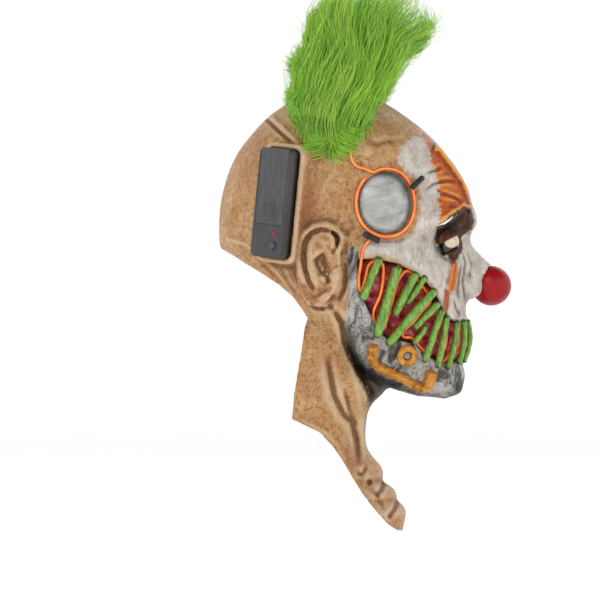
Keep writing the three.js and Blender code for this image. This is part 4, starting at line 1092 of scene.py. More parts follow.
# Brown in the creases: partly a real paint wash, partly painted shade; broad hollows add painted shade.
wash_and_painted_shade = rough_mask(calc(t, "ADD", calc(t, "MULTIPLY", crease, 0.9), 0.2), here, 200, 0.7, 1.7)
wash_and_painted_shade = calc(t, "MAXIMUM", calc(t, "MULTIPLY", wash_and_painted_shade, 0.72), level(t, hollow, 0.25, 1.0, 0, 0.55))
tan = blend(t, wash_and_painted_shade, tan, linear(86, 50, 26))
dots = put(t, "ShaderNodeTexVoronoi", {0: here, 2: 85.0}, feature="F1")
pit = calc(t, "MULTIPLY", level(t, dots, 0.10, 0.06), level(t, mottle(t, here, 30, 1), 0.55, 0.6))
tan = blend(t, calc(t, "MULTIPLY", pit, 0.85), tan, linear(60, 36, 20))

white_at = rough_mask(layer(t, "white"), across_strokes, 170, 1.0, 4.5)
scratch = level(t, mottle(t, down_strokes, 420, 5, 0.7, 0.4), 0.5, 0.68)
bare = calc(t, "MULTIPLY", scratch, level(t, mottle(t, here, 60, 4), 0.36, 0.56))
white = blend(t, level(t, mottle(t, here, 90, 5, 0.6), 0.35, 0.7), linear(216, 210, 202),
    linear(178, 168, 156))
white = blend(t, calc(t, "MULTIPLY", bare, 0.75), white, linear(140, 98, 62))
# Painted shade: the crease wash darkens the white too.
white = blend(t, calc(t, "MULTIPLY", wash_and_painted_shade, 0.9), white, linear(74, 48, 30))
colour = blend(t, white_at, tan, white)

lip = calc(t, "MULTIPLY", level(t, layer(t, "flesh"), 0.12, 0.4), 0.85)
colour = blend(t, calc(t, "MULTIPLY", lip, level(t, mottle(t, here, 120, 4), 0.35, 0.6)), colour,
    linear(176, 118, 96))

grey_at = rough_mask(layer(t, "grey"), here, 160, 0.5, 7)
smear = mottle(t, here, 170, 7, 0.7, 1.4)
grey = blend(t, level(t, mottle(t, here, 45, 4), 0.3, 0.7), linear(200, 198, 192), linear(158, 156, 150))
long_smear = level(t, mottle(t, down_strokes, 60, 8, 0.75, 1.2), 0.49, 0.57)
# Black paint smears and streaks on the jaw, plus painted shade in its creases and hollows.
black_smears_and_crease_shade = calc(t, "MAXIMUM", calc(t, "MAXIMUM", level(t, smear, 0.53, 0.64), long_smear), wash_and_painted_shade)
grey = blend(t, calc(t, "MULTIPLY", black_smears_and_crease_shade, 0.9), grey, linear(44, 41, 38))
# Painted shade: dark along the underside of the jaw, broken into vertical streaks.
under_jaw_shade_at = rough_mask(layer(t, "under_jaw_shade"), down_strokes, 190, 0.9, 2.4)
grey = blend(t, calc(t, "MULTIPLY", under_jaw_shade_at, 0.88), grey, linear(52, 49, 46))
colour = blend(t, grey_at, colour, grey)

orange_layer = layer(t, "orange")
orange_at = rough_mask(orange_layer, hair_strokes, 260, 1.15, 9)
core = rough_mask(orange_layer, hair_strokes, 240, 0.9, 3.0)
orange = blend(t, level(t, core, 0.2, 0.8), linear(224, 150, 50), linear(204, 88, 8))
orange = blend(t, level(t, mottle(t, hair_strokes, 190, 5, 0.65), 0.46, 0.62, 0, 0.9), orange,
    linear(120, 52, 12))
# Painted highlight: lighter orange on ridges.
orange = blend(t, level(t, calc(t, "MULTIPLY", crease, -1), 0.12, 0.55, 0, 0.75), orange,
    linear(236, 170, 70))
# Painted shade: the crease wash darkens the orange too.
orange = blend(t, calc(t, "MULTIPLY", wash_and_painted_shade, 0.9), orange, linear(74, 38, 12))
colour = blend(t, orange_at, colour, orange)
# Tear and drip are real stains; their creases take the same painted shade.
for name, tone in (("tear", linear(214, 112, 24)), ("drip", linear(170, 80, 20))):
    stain = rough_mask(layer(t, name), down_strokes, 210, 0.6, 5)
    colour = blend(t, calc(t, "MULTIPLY", stain, 0.9), colour, blend(t, wash_and_painted_shade, tone, linear(90, 46, 16)))

socket_at = rough_mask(layer(t, "brown"), here, 240, 0.5, 7)
socket = blend(t, level(t, mottle(t, down_strokes, 200, 5), 0.42, 0.68), linear(52, 26, 15),
    linear(112, 60, 28))
# Painted shade: near-black in the hollows of the socket.
socket = blend(t, level(t, hollow, 0.2, 0.8), socket, linear(20, 12, 9))
colour = blend(t, socket_at, colour, socket)
shadow_at = rough_mask(layer(t, "shadow"), here, 150, 0.7, 4)
colour = blend(t, calc(t, "MULTIPLY", shadow_at, 0.9), colour, linear(22, 17, 14))

flesh_at = level(t, layer(t, "flesh"), 0.42, 0.56)
meat = blend(t, level(t, mottle(t, here, 190, 5, 0.6), 0.38, 0.66), linear(150, 12, 26), linear(206, 70, 78))
# Painted shade: dark red in the creases of the flesh; painted highlight: pink on its raised lumps.
meat = blend(t, level(t, crease, 0.0, 0.9), meat, linear(66, 5, 10))
meat = blend(t, level(t, calc(t, "MULTIPLY", crease, -1), 0.15, 0.7, 0, 0.65), meat, linear(206, 138, 130))
colour = blend(t, flesh_at, colour, meat)
lining = blend(t, level(t, broad, 0.3, 0.7), linear(206, 180, 146), linear(190, 160, 124))
inside_at = layer(t, "inside")
colour = blend(t, inside_at, colour, lining)

rough = blend(t, socket_at, (0.52, 0.52, 0.52, 1), (0.36, 0.36, 0.36, 1))
rough = blend(t, orange_at, rough, (0.4, 0.4, 0.4, 1))
rough = blend(t, flesh_at, rough, (0.16, 0.16, 0.16, 1))
rough = blend(t, inside_at, rough, (0.75, 0.75, 0.75, 1))
relief = use(t, pores, {"Place": here, "Size": 700.0, "Amount": 1.0})
relief = calc(t, "ADD", relief, calc(t, "MULTIPLY", veins, 1.6))
relief = calc(t, "ADD", relief, calc(t, "MULTIPLY", calc(t, "MULTIPLY", smear, grey_at), 4.0))
feed(t, shader, Base_Color=colour, Roughness=rough, Normal=bumped(t, relief, 0.0006, 0.55))
shader.inputs["Specular IOR Level"].default_value = 0.25
mask.data.materials.append(latex_finish)
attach(mask, "mask")
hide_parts("mask_shell")
print("latex is painted with", len(t.nodes), "nodes")

# %% [markdown]
# ## Pieces that follow a path
# Stitches and glowing wires are all tubes on a path, so one Geometry Nodes tree makes them. The script
# draws each path with its own radius at each point, and the tree sweeps a circle along it, roughens it
# and closes its ends.

# %% Tube tree
tube_tree = bpy.data.node_groups.new("tube_on_path", "GeometryNodeTree")
face = tube_tree.interface
face.new_socket("Path", in_out="INPUT", socket_type="NodeSocketGeometry")
for label, kind, value in (("Sides", "NodeSocketInt", 12), ("Lumps", "NodeSocketFloat", 0.0),
    ("Lump size", "NodeSocketFloat", 300.0), ("Seed", "NodeSocketFloat", 0.0)):
    face.new_socket(label, in_out="INPUT", socket_type=kind).default_value = value
face.new_socket("Finish", in_out="INPUT", socket_type="NodeSocketMaterial")
face.new_socket("Tube", in_out="OUTPUT", socket_type="NodeSocketGeometry")
g_in, g_out = tube_tree.nodes.new("NodeGroupInput"), tube_tree.nodes.new("NodeGroupOutput")
circle = put(tube_tree, "GeometryNodeCurvePrimitiveCircle", {"Resolution": g_in.outputs["Sides"],
    "Radius": 1.0})
girth_of = put(tube_tree, "GeometryNodeInputRadius", {})
swept = put(tube_tree, "GeometryNodeCurveToMesh", {"Curve": g_in.outputs["Path"], "Profile Curve": circle,
    "Scale": girth_of, "Fill Caps": True})
bump_noise = put(tube_tree, "ShaderNodeTexNoise", {"W": g_in.outputs["Seed"],
    "Scale": g_in.outputs["Lump size"], "Detail": 2.0}, noise_dimensions="4D")
push = calc(tube_tree, "MULTIPLY", calc(tube_tree, "SUBTRACT", bump_noise, 0.5), g_in.outputs["Lumps"])
normal = put(tube_tree, "GeometryNodeInputNormal", {})
moved = put(tube_tree, "ShaderNodeVectorMath", {0: normal, "Scale": push}, operation="SCALE")
placed = put(tube_tree, "GeometryNodeSetPosition", {"Geometry": swept, "Offset": moved})
smooth = put(tube_tree, "GeometryNodeSetShadeSmooth", {"Geometry": placed})
whole = put(tube_tree, "GeometryNodeRealizeInstances", {"Geometry": smooth})
dressed = put(tube_tree, "GeometryNodeSetMaterial", {"Geometry": whole, "Material": g_in.outputs["Finish"]})
tube_tree.links.new(dressed, g_out.inputs["Tube"])
TUBE_INPUTS = {item.name: item.identifier for item in face.items_tree if item.in_out == "INPUT"}


def path_object(name, splines):
    """Curve object with one poly spline for each list of (point, radius)."""
    data = bpy.data.curves.new(name, "CURVE")
    data.dimensions = "3D"
    for points, radii in splines:
        spline = data.splines.new("POLY")
        spline.points.add(len(points) - 1)
        flat = np.ones((len(points), 4), dtype=np.float32)
        flat[:, :3] = points
        spline.points.foreach_set("co", flat.ravel())
        spline.points.foreach_set("radius", np.asarray(radii, dtype=np.float32))
    obj = bpy.data.objects.new(name, data)
    scene.collection.objects.link(obj)
    return obj


def swept_tube(name, splines, finish, sides=12, lumps=0.0, lump_size=300.0, seed=0.0):
    """Piece made by the tube tree from paths in metres."""
    path = path_object(name + "_path", splines)
    maker = path.modifiers.new("tube", "NODES")
    maker.node_group = tube_tree
    for label, value in (("Sides", sides), ("Lumps", lumps), ("Lump size", lump_size), ("Seed", seed),
        ("Finish", finish)):
        maker[TUBE_INPUTS[label]] = value
    bpy.context.view_layer.update()
    mesh = bpy.data.meshes.new_from_object(path.evaluated_get(bpy.context.evaluated_depsgraph_get()))
    bpy.data.objects.remove(path)
    mesh.name = name
    piece = bpy.data.objects.new(name, mesh)
    scene.collection.objects.link(piece)
    return piece


def smooth_path(points, count):
    """Even points on a Catmull-Rom curve through points."""
    p = np.array([tuple(q) for q in points], dtype=float)
    p = np.vstack([2 * p[0] - p[1], p, 2 * p[-1] - p[-2]])
    step = np.sqrt(np.linalg.norm(np.diff(p, axis=0), axis=1)) + 1e-6
    knot = np.concatenate([[0], np.cumsum(step)])
    dense = []
    for i in range(1, len(p) - 2):
        t = np.linspace(knot[i], knot[i + 1], 24, endpoint=i == len(p) - 3)[:, None]
        t0, t1, t2, t3 = knot[i - 1:i + 3]
        a1 = (t1 - t) / (t1 - t0) * p[i - 1] + (t - t0) / (t1 - t0) * p[i]
        a2 = (t2 - t) / (t2 - t1) * p[i] + (t - t1) / (t2 - t1) * p[i + 1]
        a3 = (t3 - t) / (t3 - t2) * p[i + 1] + (t - t2) / (t3 - t2) * p[i + 2]
        b1 = (t2 - t) / (t2 - t0) * a1 + (t - t0) / (t2 - t0) * a2
        b2 = (t3 - t) / (t3 - t1) * a2 + (t - t1) / (t3 - t1) * a3
        dense.append((t2 - t) / (t2 - t1) * b1 + (t - t1) / (t2 - t1) * b2)
    dense = np.concatenate(dense)
    run = np.concatenate([[0], np.cumsum(np.linalg.norm(np.diff(dense, axis=0), axis=1))])
    at = np.linspace(0, run[-1], count)
    return np.stack([np.interp(at, run, dense[:, k]) for k in range(3)], axis=1)


SIDES = {"right": np.array([1, 1, 1]), "left": np.array([-1, 1, 1])}


def settle(piece, slot, *nodes, body="mask"):
    """Gives a finished piece its body, and lets it stand for its nodes; slot is not used."""
    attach(piece, body)
    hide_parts(*nodes)


print("tube tree inputs", list(TUBE_INPUTS))

# %% [markdown]
# ## Green stitches
# The stitches are thick cords of latex, painted green. Each is a tube with round ends and a lumpy,
# hand-made surface. A painted highlight in lighter green sits on the raised middle, and painted shade
# darkens the ends.

# %% Stitch finish and stitches
stitch_finish, t, shader = new_finish("stitch_green")
here = places(t)
tone = level(t, mottle(t, here, 160, 5, 0.6, 0.5), 0.36, 0.66)
grain = level(t, mottle(t, places(t, (1, 1, 0.22), (28, 0, 0)), 520, 5, 0.65, 0.3), 0.44, 0.6)
green = blend(t, tone, linear(92, 146, 36), linear(128, 176, 54))
green = blend(t, calc(t, "MULTIPLY", grain, 0.55), green, linear(48, 84, 18))
green = blend(t, level(t, mottle(t, here, 420, 4), 0.56, 0.72, 0, 0.6), green, linear(40, 66, 16))
# Painted shade: near-black towards each end of the stitch.
end_painted_shade = use(t, ragged, {"Place": here, "Value": layer(t, "end"), "Size": 380.0, "Raggedness": 0.5,
    "Hardness": 4.0})
green = blend(t, calc(t, "MULTIPLY", end_painted_shade, 0.85), green, linear(22, 30, 12))
# Painted highlight: lighter green on the raised outer side.
green = blend(t, calc(t, "MULTIPLY", calc(t, "MULTIPLY", layer(t, "top"), calc(t, "SUBTRACT", 1.0, grain)),
    0.35), green, linear(176, 212, 112))
relief = use(t, pores, {"Place": here, "Size": 650.0, "Amount": 1.0})
feed(t, shader, Base_Color=green, Roughness=level(t, tone, 0, 1, 0.42, 0.3), Normal=bumped(t, relief, 0.0005,
    0.5))
shader.inputs["Coat Weight"].default_value = 0.25
shader.inputs["Coat Roughness"].default_value = 0.25

STITCHES = [  # top forward, top down, low forward, low down, diameter, top sunk, low sunk
    (0.27, 0.54, 0.155, 0.68, 7, 0, 0), (0.395, 0.565, 0.262, 0.797, 8, 0, 0),
    (0.52, 0.588, 0.388, 0.73, 7, 0, 0.6), (0.58, 0.6, 0.485, 0.698, 5.5, 0, 1.6),
    (0.66, 0.642, 0.335, 0.823, 7.5, 0, 0), (0.7, 0.684, 0.53, 0.775, 6.5, 0, 1.4),
    (0.64, 0.765, 0.52, 0.822, 5, 2, 0), (0.722, 0.705, 0.605, 0.88, 6, 0, 0),
    (0.757, 0.728, 0.702, 0.9, 5.5, 0, 0), (0.835, 0.744, 0.776, 0.905, 5, 0, 0),
    (0.88, 0.742, 0.855, 0.89, 5, 0, 0), (0.917, 0.742, 0.893, 0.885, 4.5, 0, 0),
]
FRONT_BENDS = {9: 0.008, 10: 0.016, 11: 0.024}
for i, (tf, td, lf, ld, wide, top_in, low_in) in enumerate(STITCHES):
    r = wide / 2
    bend = FRONT_BENDS.get(i, 0)
    middle = above((tf + lf) / 2 + bend, (td + ld) / 2, r * (0.8 - (top_in + low_in) / 2) + 1.2)
    path = smooth_path([above(tf, td, r * (0.8 - top_in)), middle, above(lf, ld, r * (0.8 - low_in))], 40)
    run = np.linspace(0, 1, 40)
    length = np.linalg.norm(path[-1] - path[0])
    near_end = np.minimum(run, 1 - run) * length
    girth = np.sqrt(np.clip(1 - np.clip(1 - near_end / (r * 0.8), 0, 1) ** 2, 0.02, 1))
    girth *= 1 + 0.05 * np.sin(run * 9 + i) + 0.04 * np.sin(run * 23 + 2 * i)
    for side, flip in SIDES.items():
        piece = swept_tube(f"stitch_cord_{side}_{i + 1}", [(path * flip * MM, girth * r * MM * 1.04)],
                           stitch_finish, sides=14, lumps=0.0011, lump_size=230.0, seed=float(i))
        points = np.empty(len(piece.data.vertices) * 3, dtype=np.float32)
        piece.data.vertices.foreach_get("co", points)
        points = points.reshape(-1, 3) / MM * flip
        share = ((points - path[0]) @ (path[-1] - path[0])) / length ** 2
        # end: nearness to an end of the stitch, for the painted shade there.
        keep_values(piece.data, "end", np.clip(1 - np.minimum(share, 1 - share) * length / 5, 0, 1))
        out = np.array(outward((tf + lf) / 2, (td + ld) / 2))
        nearest = path[np.clip((share * 39).round().astype(int), 0, 39)]
        # top: how far a point lies on the raised outer side, for the painted highlight.
        keep_values(piece.data, "top", np.clip(((points - nearest) @ out) / r - 0.55, 0, 0.45) / 0.45)
        settle(piece, "stitch_green", f"stitch_{side}_{i + 1}")
print("stitches", 2 * len(STITCHES))

# %% [markdown]
# ## Glowing wire
# The wire is a thin plastic tube with a bright core. Its finish glows orange along the middle of the
# face that looks at the viewer, and painted shade turns it darker red at the rims.

# %% Wire finish, ring wires and mouth wires
wire_finish, t, shader = new_finish("glow_wire")
here = places(t)
rim = level(t, put(t, "ShaderNodeLayerWeight", {"Blend": 0.5}, out=1), 0.12, 0.7)
toward_front = level(t, put(t, "ShaderNodeSeparateXYZ", {0: here}, out=1), -0.05, -0.11)
uneven = level(t, mottle(t, here, 120, 3), 0.35, 0.7)
glow = blend(t, uneven, linear(255, 150, 62), linear(252, 110, 30))
glow = blend(t, calc(t, "MULTIPLY", toward_front, 0.75), glow, linear(242, 52, 28))
# Painted shade: darker red towards the rims of the tube.
edge = blend(t, rim, glow, linear(132, 16, 6))
feed(t, shader, Base_Color=edge, Roughness=level(t, uneven, 0, 1, 0.3, 0.42), Emission_Color=edge)
shader.inputs["Emission Strength"].default_value = 0.2
shader.inputs["Coat Weight"].default_value = 0.5
shader.inputs["Coat Roughness"].default_value = 0.15

WIRE = 3.0
DISC = dict(height=54, width=46, dome=5)
RING = dict(clear=1.3, start=116, sweep=342)
DISC_AT = (0.323, 0.3715)
SEAT = 0.6


def round_disc(across, up):
    half = [size / 2 + RING["clear"] + WIRE / 2 for size in (DISC["width"], DISC["height"])]
    return (DISC_AT[0] + across * half[0] / HEAD["front"], DISC_AT[1] - up * half[1] / HEAD["height"])


RING_LEAD = [(0.062, 0.19), (0.07, 0.22), (0.085, 0.242), (0.12, 0.258), (0.16, 0.262)]
loop = [math.radians(RING["start"] - RING["sweep"] * i / 32) for i in range(33)]
ring_path = [above(*p, WIRE / 2 + 0.3) for p in RING_LEAD] + [above(*round_disc(math.cos(a), math.sin(a)),
    WIRE / 2 + 0.3) for a in loop]
MOUTH_WIRE = [  # forward, down, height of its middle in wire diameters
    (0.22, 0.48, 0.7), (0.19, 0.496, 0.7), (0.152, 0.522, 0.6), (0.142, 0.565, 0.3), (0.132, 0.62, -0.1),
    (0.15, 0.655, -0.6), (0.182, 0.615, -0.6), (0.205, 0.575, -1.1), (0.25, 0.562, -1.5), (0.3, 0.572, -1.3),
    (0.308, 0.61, -0.4), (0.285, 0.67, -0.1), (0.25, 0.708, -0.5), (0.245, 0.74, -1.3), (0.28, 0.775, -1.5),
    (0.322, 0.775, -1.2), (0.343, 0.75, -1.4), (0.384, 0.69, -1.3), (0.42, 0.62, -1.4), (0.465, 0.592, -1.3),
    (0.52, 0.607, -1.5), (0.575, 0.635, -1.5), (0.635, 0.662, -1.5), (0.655, 0.69, -0.9), (0.6, 0.715, -0.4),
    (0.525, 0.755, -0.4), (0.465, 0.782, -0.9), (0.468, 0.802, -1.3), (0.53, 0.806, -1.5),
    (0.59, 0.832, -1.5),
    (0.645, 0.852, -1.3), (0.672, 0.84, -0.9), (0.683, 0.8, -0.2), (0.705, 0.762, -0.7), (0.732, 0.745, -1.4),
    (0.765, 0.755, -1), (0.773, 0.79, -0.1), (0.765, 0.835, -0.2), (0.742, 0.866, -1.1), (0.772, 0.88, -1.5),
    (0.8, 0.868, -1.1), (0.828, 0.83, -0.1), (0.848, 0.79, -0.3), (0.862, 0.765, -1.3), (0.884, 0.768, -1.2),
    (0.897, 0.795, -0.3), (0.89, 0.83, -0.3), (0.878, 0.855, -1),
]
lace = [above(f, d, high * WIRE) for f, d, high in MOUTH_WIRE]
for side, flip in SIDES.items():
    for name, path, count in (("ring_wire", ring_path, 200), ("mouth_wire", lace, 420)):
        points = smooth_path(path, count) * flip * MM
        piece = swept_tube(f"{name}_tube_{side}", [(points, np.full(count, WIRE / 2 * MM))], wire_finish,
            sides=12)
        settle(piece, "glow_wire", f"{name}_{side}")
print("wires laced")

# %% [markdown]
# ## Metal-painted plates and brass
# The temple plates are shallow domes that follow the curve of the head, brushed with silver, with
# painted shade darkening their rims and their front and upper sides. The jaw pieces are painted brass.
# Both are lofted forms with soft edges, because cast latex and resin have no sharp corners.

# %% Metal finishes
disc_finish, t, shader = new_finish("brushed_silver_paint")
swirl = places(t, (1, 0.45, 1.0), (-55, 0, 0))
here = places(t)
brush = mottle(t, swirl, 120, 7, 0.62, 0.3)
silver = blend(t, level(t, brush, 0.3, 0.7), linear(138, 138, 136), linear(196, 195, 192))
# Painted shade: darker at the plate's rim and towards its front and top; on the stud it gives an even darker
# tone.
rim_shade_and_stud_tone = use(t, ragged, {"Place": here, "Value": layer(t, "rim"), "Size": 150.0, "Raggedness": 0.5,
    "Hardness": 1.5})
silver = blend(t, calc(t, "MULTIPLY", rim_shade_and_stud_tone, 0.9), silver, linear(52, 60, 60))
silver = blend(t, level(t, mottle(t, here, 330, 5, 0.7), 0.66, 0.74, 0, 0.8), silver, linear(62, 60, 58))
relief = calc(t, "ADD", brush, use(t, pores, {"Place": here, "Size": 800.0, "Amount": 0.5}))
feed(t, shader, Base_Color=silver, Roughness=level(t, brush, 0.3, 0.7, 0.5, 0.36), Normal=bumped(t, relief,
    0.0004, 0.5))
shader.inputs["Metallic"].default_value = 0.25

brass_finish, t, shader = new_finish("brass_paint")
here = places(t)
along_bar = places(t, (1, 0.4, 1.4), (28, 0, 0))
tone = level(t, mottle(t, along_bar, 150, 5, 0.62, 0.5), 0.36, 0.64)
brass = blend(t, tone, linear(186, 112, 26), linear(222, 160, 62))
brass = blend(t, level(t, mottle(t, here, 130, 5, 0.65), 0.48, 0.64, 0, 0.7), brass, linear(92, 46, 10))
brass = blend(t, calc(t, "MULTIPLY", layer(t, "edge"), 0.6), brass, linear(70, 36, 12))
relief = use(t, pores, {"Place": here, "Size": 500.0, "Amount": 1.2})
feed(t, shader, Base_Color=brass, Roughness=level(t, tone, 0, 1, 0.46, 0.3), Normal=bumped(t, relief, 0.0005,
    0.6))
shader.inputs["Metallic"].default_value = 0.3


def closed_piece(name, points, faces, finish):
    """Smooth closed piece from points in millimetres, with its faces turned outwards."""
    mesh = bpy.data.meshes.new(name)
    mesh.from_pydata((np.array(points) * MM).tolist(), [], faces)
    bm = bmesh.new()
    bm.from_mesh(mesh)
    bmesh.ops.remove_doubles(bm, verts=bm.verts, dist=1e-7)
    bmesh.ops.recalc_face_normals(bm, faces=bm.faces)
    bm.to_mesh(mesh)
    bm.free()
    mesh.shade_smooth()
    mesh.materials.append(finish)
    piece = bpy.data.objects.new(name, mesh)
    scene.collection.objects.link(piece)
    return piece


def lofted_piece(name, rings, finish):
    """Closed smooth piece through rings of points in millimetres."""
    sides = len(rings[0])
    points = np.concatenate([np.array(ring) for ring in rings] + [np.mean(rings[0], 0)[None],
        np.mean(rings[-1], 0)[None]])
    n = len(rings) * sides
    faces = [(i * sides + j, i * sides + (j + 1) % sides, (i + 1) * sides + (j + 1) % sides,
        (i + 1) * sides + j)
             for i in range(len(rings) - 1) for j in range(sides)]
    faces += [((j + 1) % sides, j, n) for j in range(sides)]
    faces += [(n - sides + j, n - sides + (j + 1) % sides, n + 1) for j in range(sides)]
    return closed_piece(name, points, faces, finish)


# %% [markdown]
# ## Temple plates
# Each plate is lofted from ovals that rise from the skin, so that it follows the curve of the head.

# %% Temple plates
PLATE = [(0.5, SEAT - 0.4), (0.96, SEAT - 0.4), (1.0, SEAT + 0.2), (0.99, SEAT + 1.0), (0.95, SEAT + 1.6),
    (0.86, 3.0), (0.74, 4.0),
         (0.6, 4.7), (0.45, 5.2), (0.3, 5.5), (0.15, 5.6), (0.04, 5.6)]
for side, flip in SIDES.items():
    rings = []
    for share, height in PLATE:
        ring = []
        for i in range(64):
            a = 2 * math.pi * i / 64
            f = DISC_AT[0] + math.cos(a) * DISC["width"] * 0.5 * share / HEAD["front"]
            d = DISC_AT[1] - math.sin(a) * DISC["height"] * 0.5 * share / HEAD["height"]
            ring.append(np.array(above(f, d, height)) * flip)
        rings.append(np.array(ring))
    piece = lofted_piece(f"temple_plate_{side}", rings, disc_finish)
    points = np.empty(len(piece.data.vertices) * 3, dtype=np.float32)
    piece.data.vertices.foreach_get("co", points)
    points = points.reshape(-1, 3) / MM
    cy, cz = at_share(*DISC_AT)
    far = np.hypot((points[:, 1] - cy) / DISC["width"] * 2, (points[:, 2] - cz) / DISC["height"] * 2)
    # rim: painted shade at the edge of the plate, stronger towards its front and top.
    toward = np.clip((-(points[:, 1] - cy) / 23 * 0.8 + (points[:, 2] - cz) / 27 * 0.5), 0, 1)
    keep_values(piece.data, "rim", np.clip(np.clip((far - 0.8) / 0.2, 0, 1) * 0.7 + np.clip((far - 0.5) / 0.5,
        0, 1) * toward * 0.8, 0, 1))
    settle(piece, "disc_metal", f"temple_disc_{side}")
print("plates are on")

# %% [markdown]
# ## Clips and jaw metal
# The clips are turned forms. The bar runs along a path on the jaw, with a wider block at each end.

# %% Clips, brass bar, ring and stud
clip_finish, t, shader = new_finish("black_tube")
here = places(t)
scuff = level(t, mottle(t, here, 400, 5, 0.7), 0.5, 0.72)
black = blend(t, scuff, linear(20, 20, 22), linear(62, 60, 58))
feed(t, shader, Base_Color=black, Roughness=level(t, scuff, 0, 1, 0.38, 0.6),
     Normal=bumped(t, use(t, pores, {"Place": here, "Size": 900.0, "Amount": 1.0}), 0.0003, 0.5))


def turned(frame_, profile, sides=32, squash_=1.0):
    """Rings round the z axis of a frame: (radius, z) pairs."""
    a = np.linspace(0, 2 * np.pi, sides, endpoint=False)
    rings = []
    for radius, z in profile:
        local = np.stack([np.cos(a) * radius, np.sin(a) * radius * squash_, np.full(sides, z),
            np.ones(sides)])
        rings.append((np.array(frame_) @ local)[:3].T)
    return rings


CLIPS = {"upper_clip": (0.97, 0.6, 36), "lower_clip": (-0.55, -1.06, -27)}  # across, up, heading
CLIP_ROUND = 5.1
CLIP_CLEAR = 0.3
CLIP_END = [(0.4, 8), (1.7, 8), (2.3, 7.6), (2.55, 6.9), (2.55, 5.6), (2.35, 5.3), (2.35, 4.9), (2.55, 4.6)]
clip_profile = [(radius, -z) for radius, z in CLIP_END] + CLIP_END[::-1]
clip_height = WIRE / 2 + SEAT + WIRE / 2 + CLIP_CLEAR + CLIP_ROUND / 2
for name, (across, up, heading) in CLIPS.items():
    swing = Matrix.Rotation(math.radians(heading - 90), 4, "Z")
    lay = Matrix.Rotation(math.radians(-90), 4, "X")
    at = lying(*round_disc(across, up), clip_height) @ swing @ lay
    for side, flip in SIDES.items():
        rings = [ring * flip for ring in turned(at, clip_profile)]
        piece = lofted_piece(f"{name}_tube_{side}", rings, clip_finish)
        settle(piece, "clip_black", f"{name}_{side}")

JAW_BAR_PATH = [(0.243, 0.818), (0.236, 0.862), (0.3, 0.89), (0.45, 0.922), (0.6, 0.955), (0.632, 0.948),
    (0.655, 0.905)]


def bar_rings(path, width, count, power=4.0):
    """Rounded square rings along a path on the jaw, with closed soft ends."""
    points = smooth_path([above(f, d, width / 2 + 0.2) for f, d in path], count)
    f = [-p[1] / HEAD["front"] for p in points]
    d = [(WALL - p[2]) / HEAD["height"] for p in points]
    length = np.concatenate([[0], np.cumsum(np.linalg.norm(np.diff(points, axis=0), axis=1))])
    rings = []
    for i, p in enumerate(points):
        way = Vector(points[min(i + 1, count - 1)] - points[max(i - 1, 0)]).normalized()
        out = outward(f[i], d[i])
        side = way.cross(out).normalized()
        out = side.cross(way).normalized()
        near = min(length[i], length[-1] - length[i])
        size = width / 2 * math.sqrt(max(1 - max(1 - near / 1.6, 0) ** 2, 0.03)) * 0.5 + width / 4
        size = size if near > 0.01 else width / 2 * 0.55
        a = np.linspace(0, 2 * np.pi, 24, endpoint=False)
        c, s = np.cos(a), np.sin(a)
        cs = np.sign(c) * np.abs(c) ** (2 / power) * size
        ss = np.sign(s) * np.abs(s) ** (2 / power) * size
        rings.append(p + cs[:, None] * np.array(side) + ss[:, None] * np.array(out))
    return rings


RING_AT = (0.48, 0.855)
RING_MIDDLE, RING_WIDE, RING_HIGH = 6.75, 3.15, 2.9  # of the ring's tube: path radius and half sizes
RING_SIDES, RING_STEPS = 28, 48
STUD_PROFILE = [  # radius, height
    (0.5, -1.0), (2.9, -1.0), (3.3, 0), (3.3, 2.6), (3.0, 3.6), (2.2, 4.2), (1.5, 4.0), (1.2, 3.4),
    (0.3, 3.3),
]
ring_at = lying(*RING_AT, 3.4)
stud_at = lying(*RING_AT, 0)
for side, flip in SIDES.items():
    parts = [bar_rings(JAW_BAR_PATH, 7.0, 60), bar_rings(JAW_BAR_PATH[:2], 9.4, 16),
        bar_rings(JAW_BAR_PATH[-2:], 9.4, 16)]
    pieces = []
    for k, rings in enumerate(parts):
        rings = [ring * flip for ring in rings]
        pieces.append(lofted_piece(f"jaw_bar_part_{side}_{k}", rings, brass_finish))
    for extra in pieces[1:]:
        join = pieces[0].modifiers.new("join", "BOOLEAN")
        join.operation = "UNION"
        join.object = extra
    applied(pieces[0])
    for extra in pieces[1:]:
        bpy.data.objects.remove(extra)
    bar = pieces[0]
    bar.name = f"brass_bar_{side}"
    bar.data.shade_smooth()
    settle(bar, "brass", f"jaw_bar_{side}")
    points, faces = [], []
    for i in range(RING_SIDES):
        a = 2 * math.pi * i / RING_SIDES
        radius, z = RING_MIDDLE + RING_WIDE * math.cos(a), RING_HIGH * math.sin(a)
        for k in np.linspace(0, 2 * np.pi, RING_STEPS, endpoint=False):
            local = Vector((math.cos(k) * radius * 0.97, math.sin(k) * radius * 1.02, z))
            points.append(np.array(ring_at @ local) * flip)
    for i in range(RING_SIDES):
        low, high = i * RING_STEPS, (i + 1) % RING_SIDES * RING_STEPS
        for j in range(RING_STEPS):
            after = (j + 1) % RING_STEPS
            faces.append((low + j, low + after, high + after, high + j))
    settle(closed_piece(f"brass_ring_{side}", points, faces, brass_finish), "brass", f"jaw_ring_{side}")
    stud = lofted_piece(f"stud_{side}", [r * flip for r in turned(stud_at, STUD_PROFILE)], disc_finish)
    # An even rim value gives the stud a darker silver tone all over.
    keep_values(stud.data, "rim", np.full(len(stud.data.vertices), 0.35))
    settle(stud, "stud_metal", f"jaw_stud_{side}")
print("jaw metal is on")

# %% [markdown]
# ## Ball and eyes
# The ball is glossy red latex with faint unevenness from the mould. The eyes are cream domes, a little
# veined and wet.

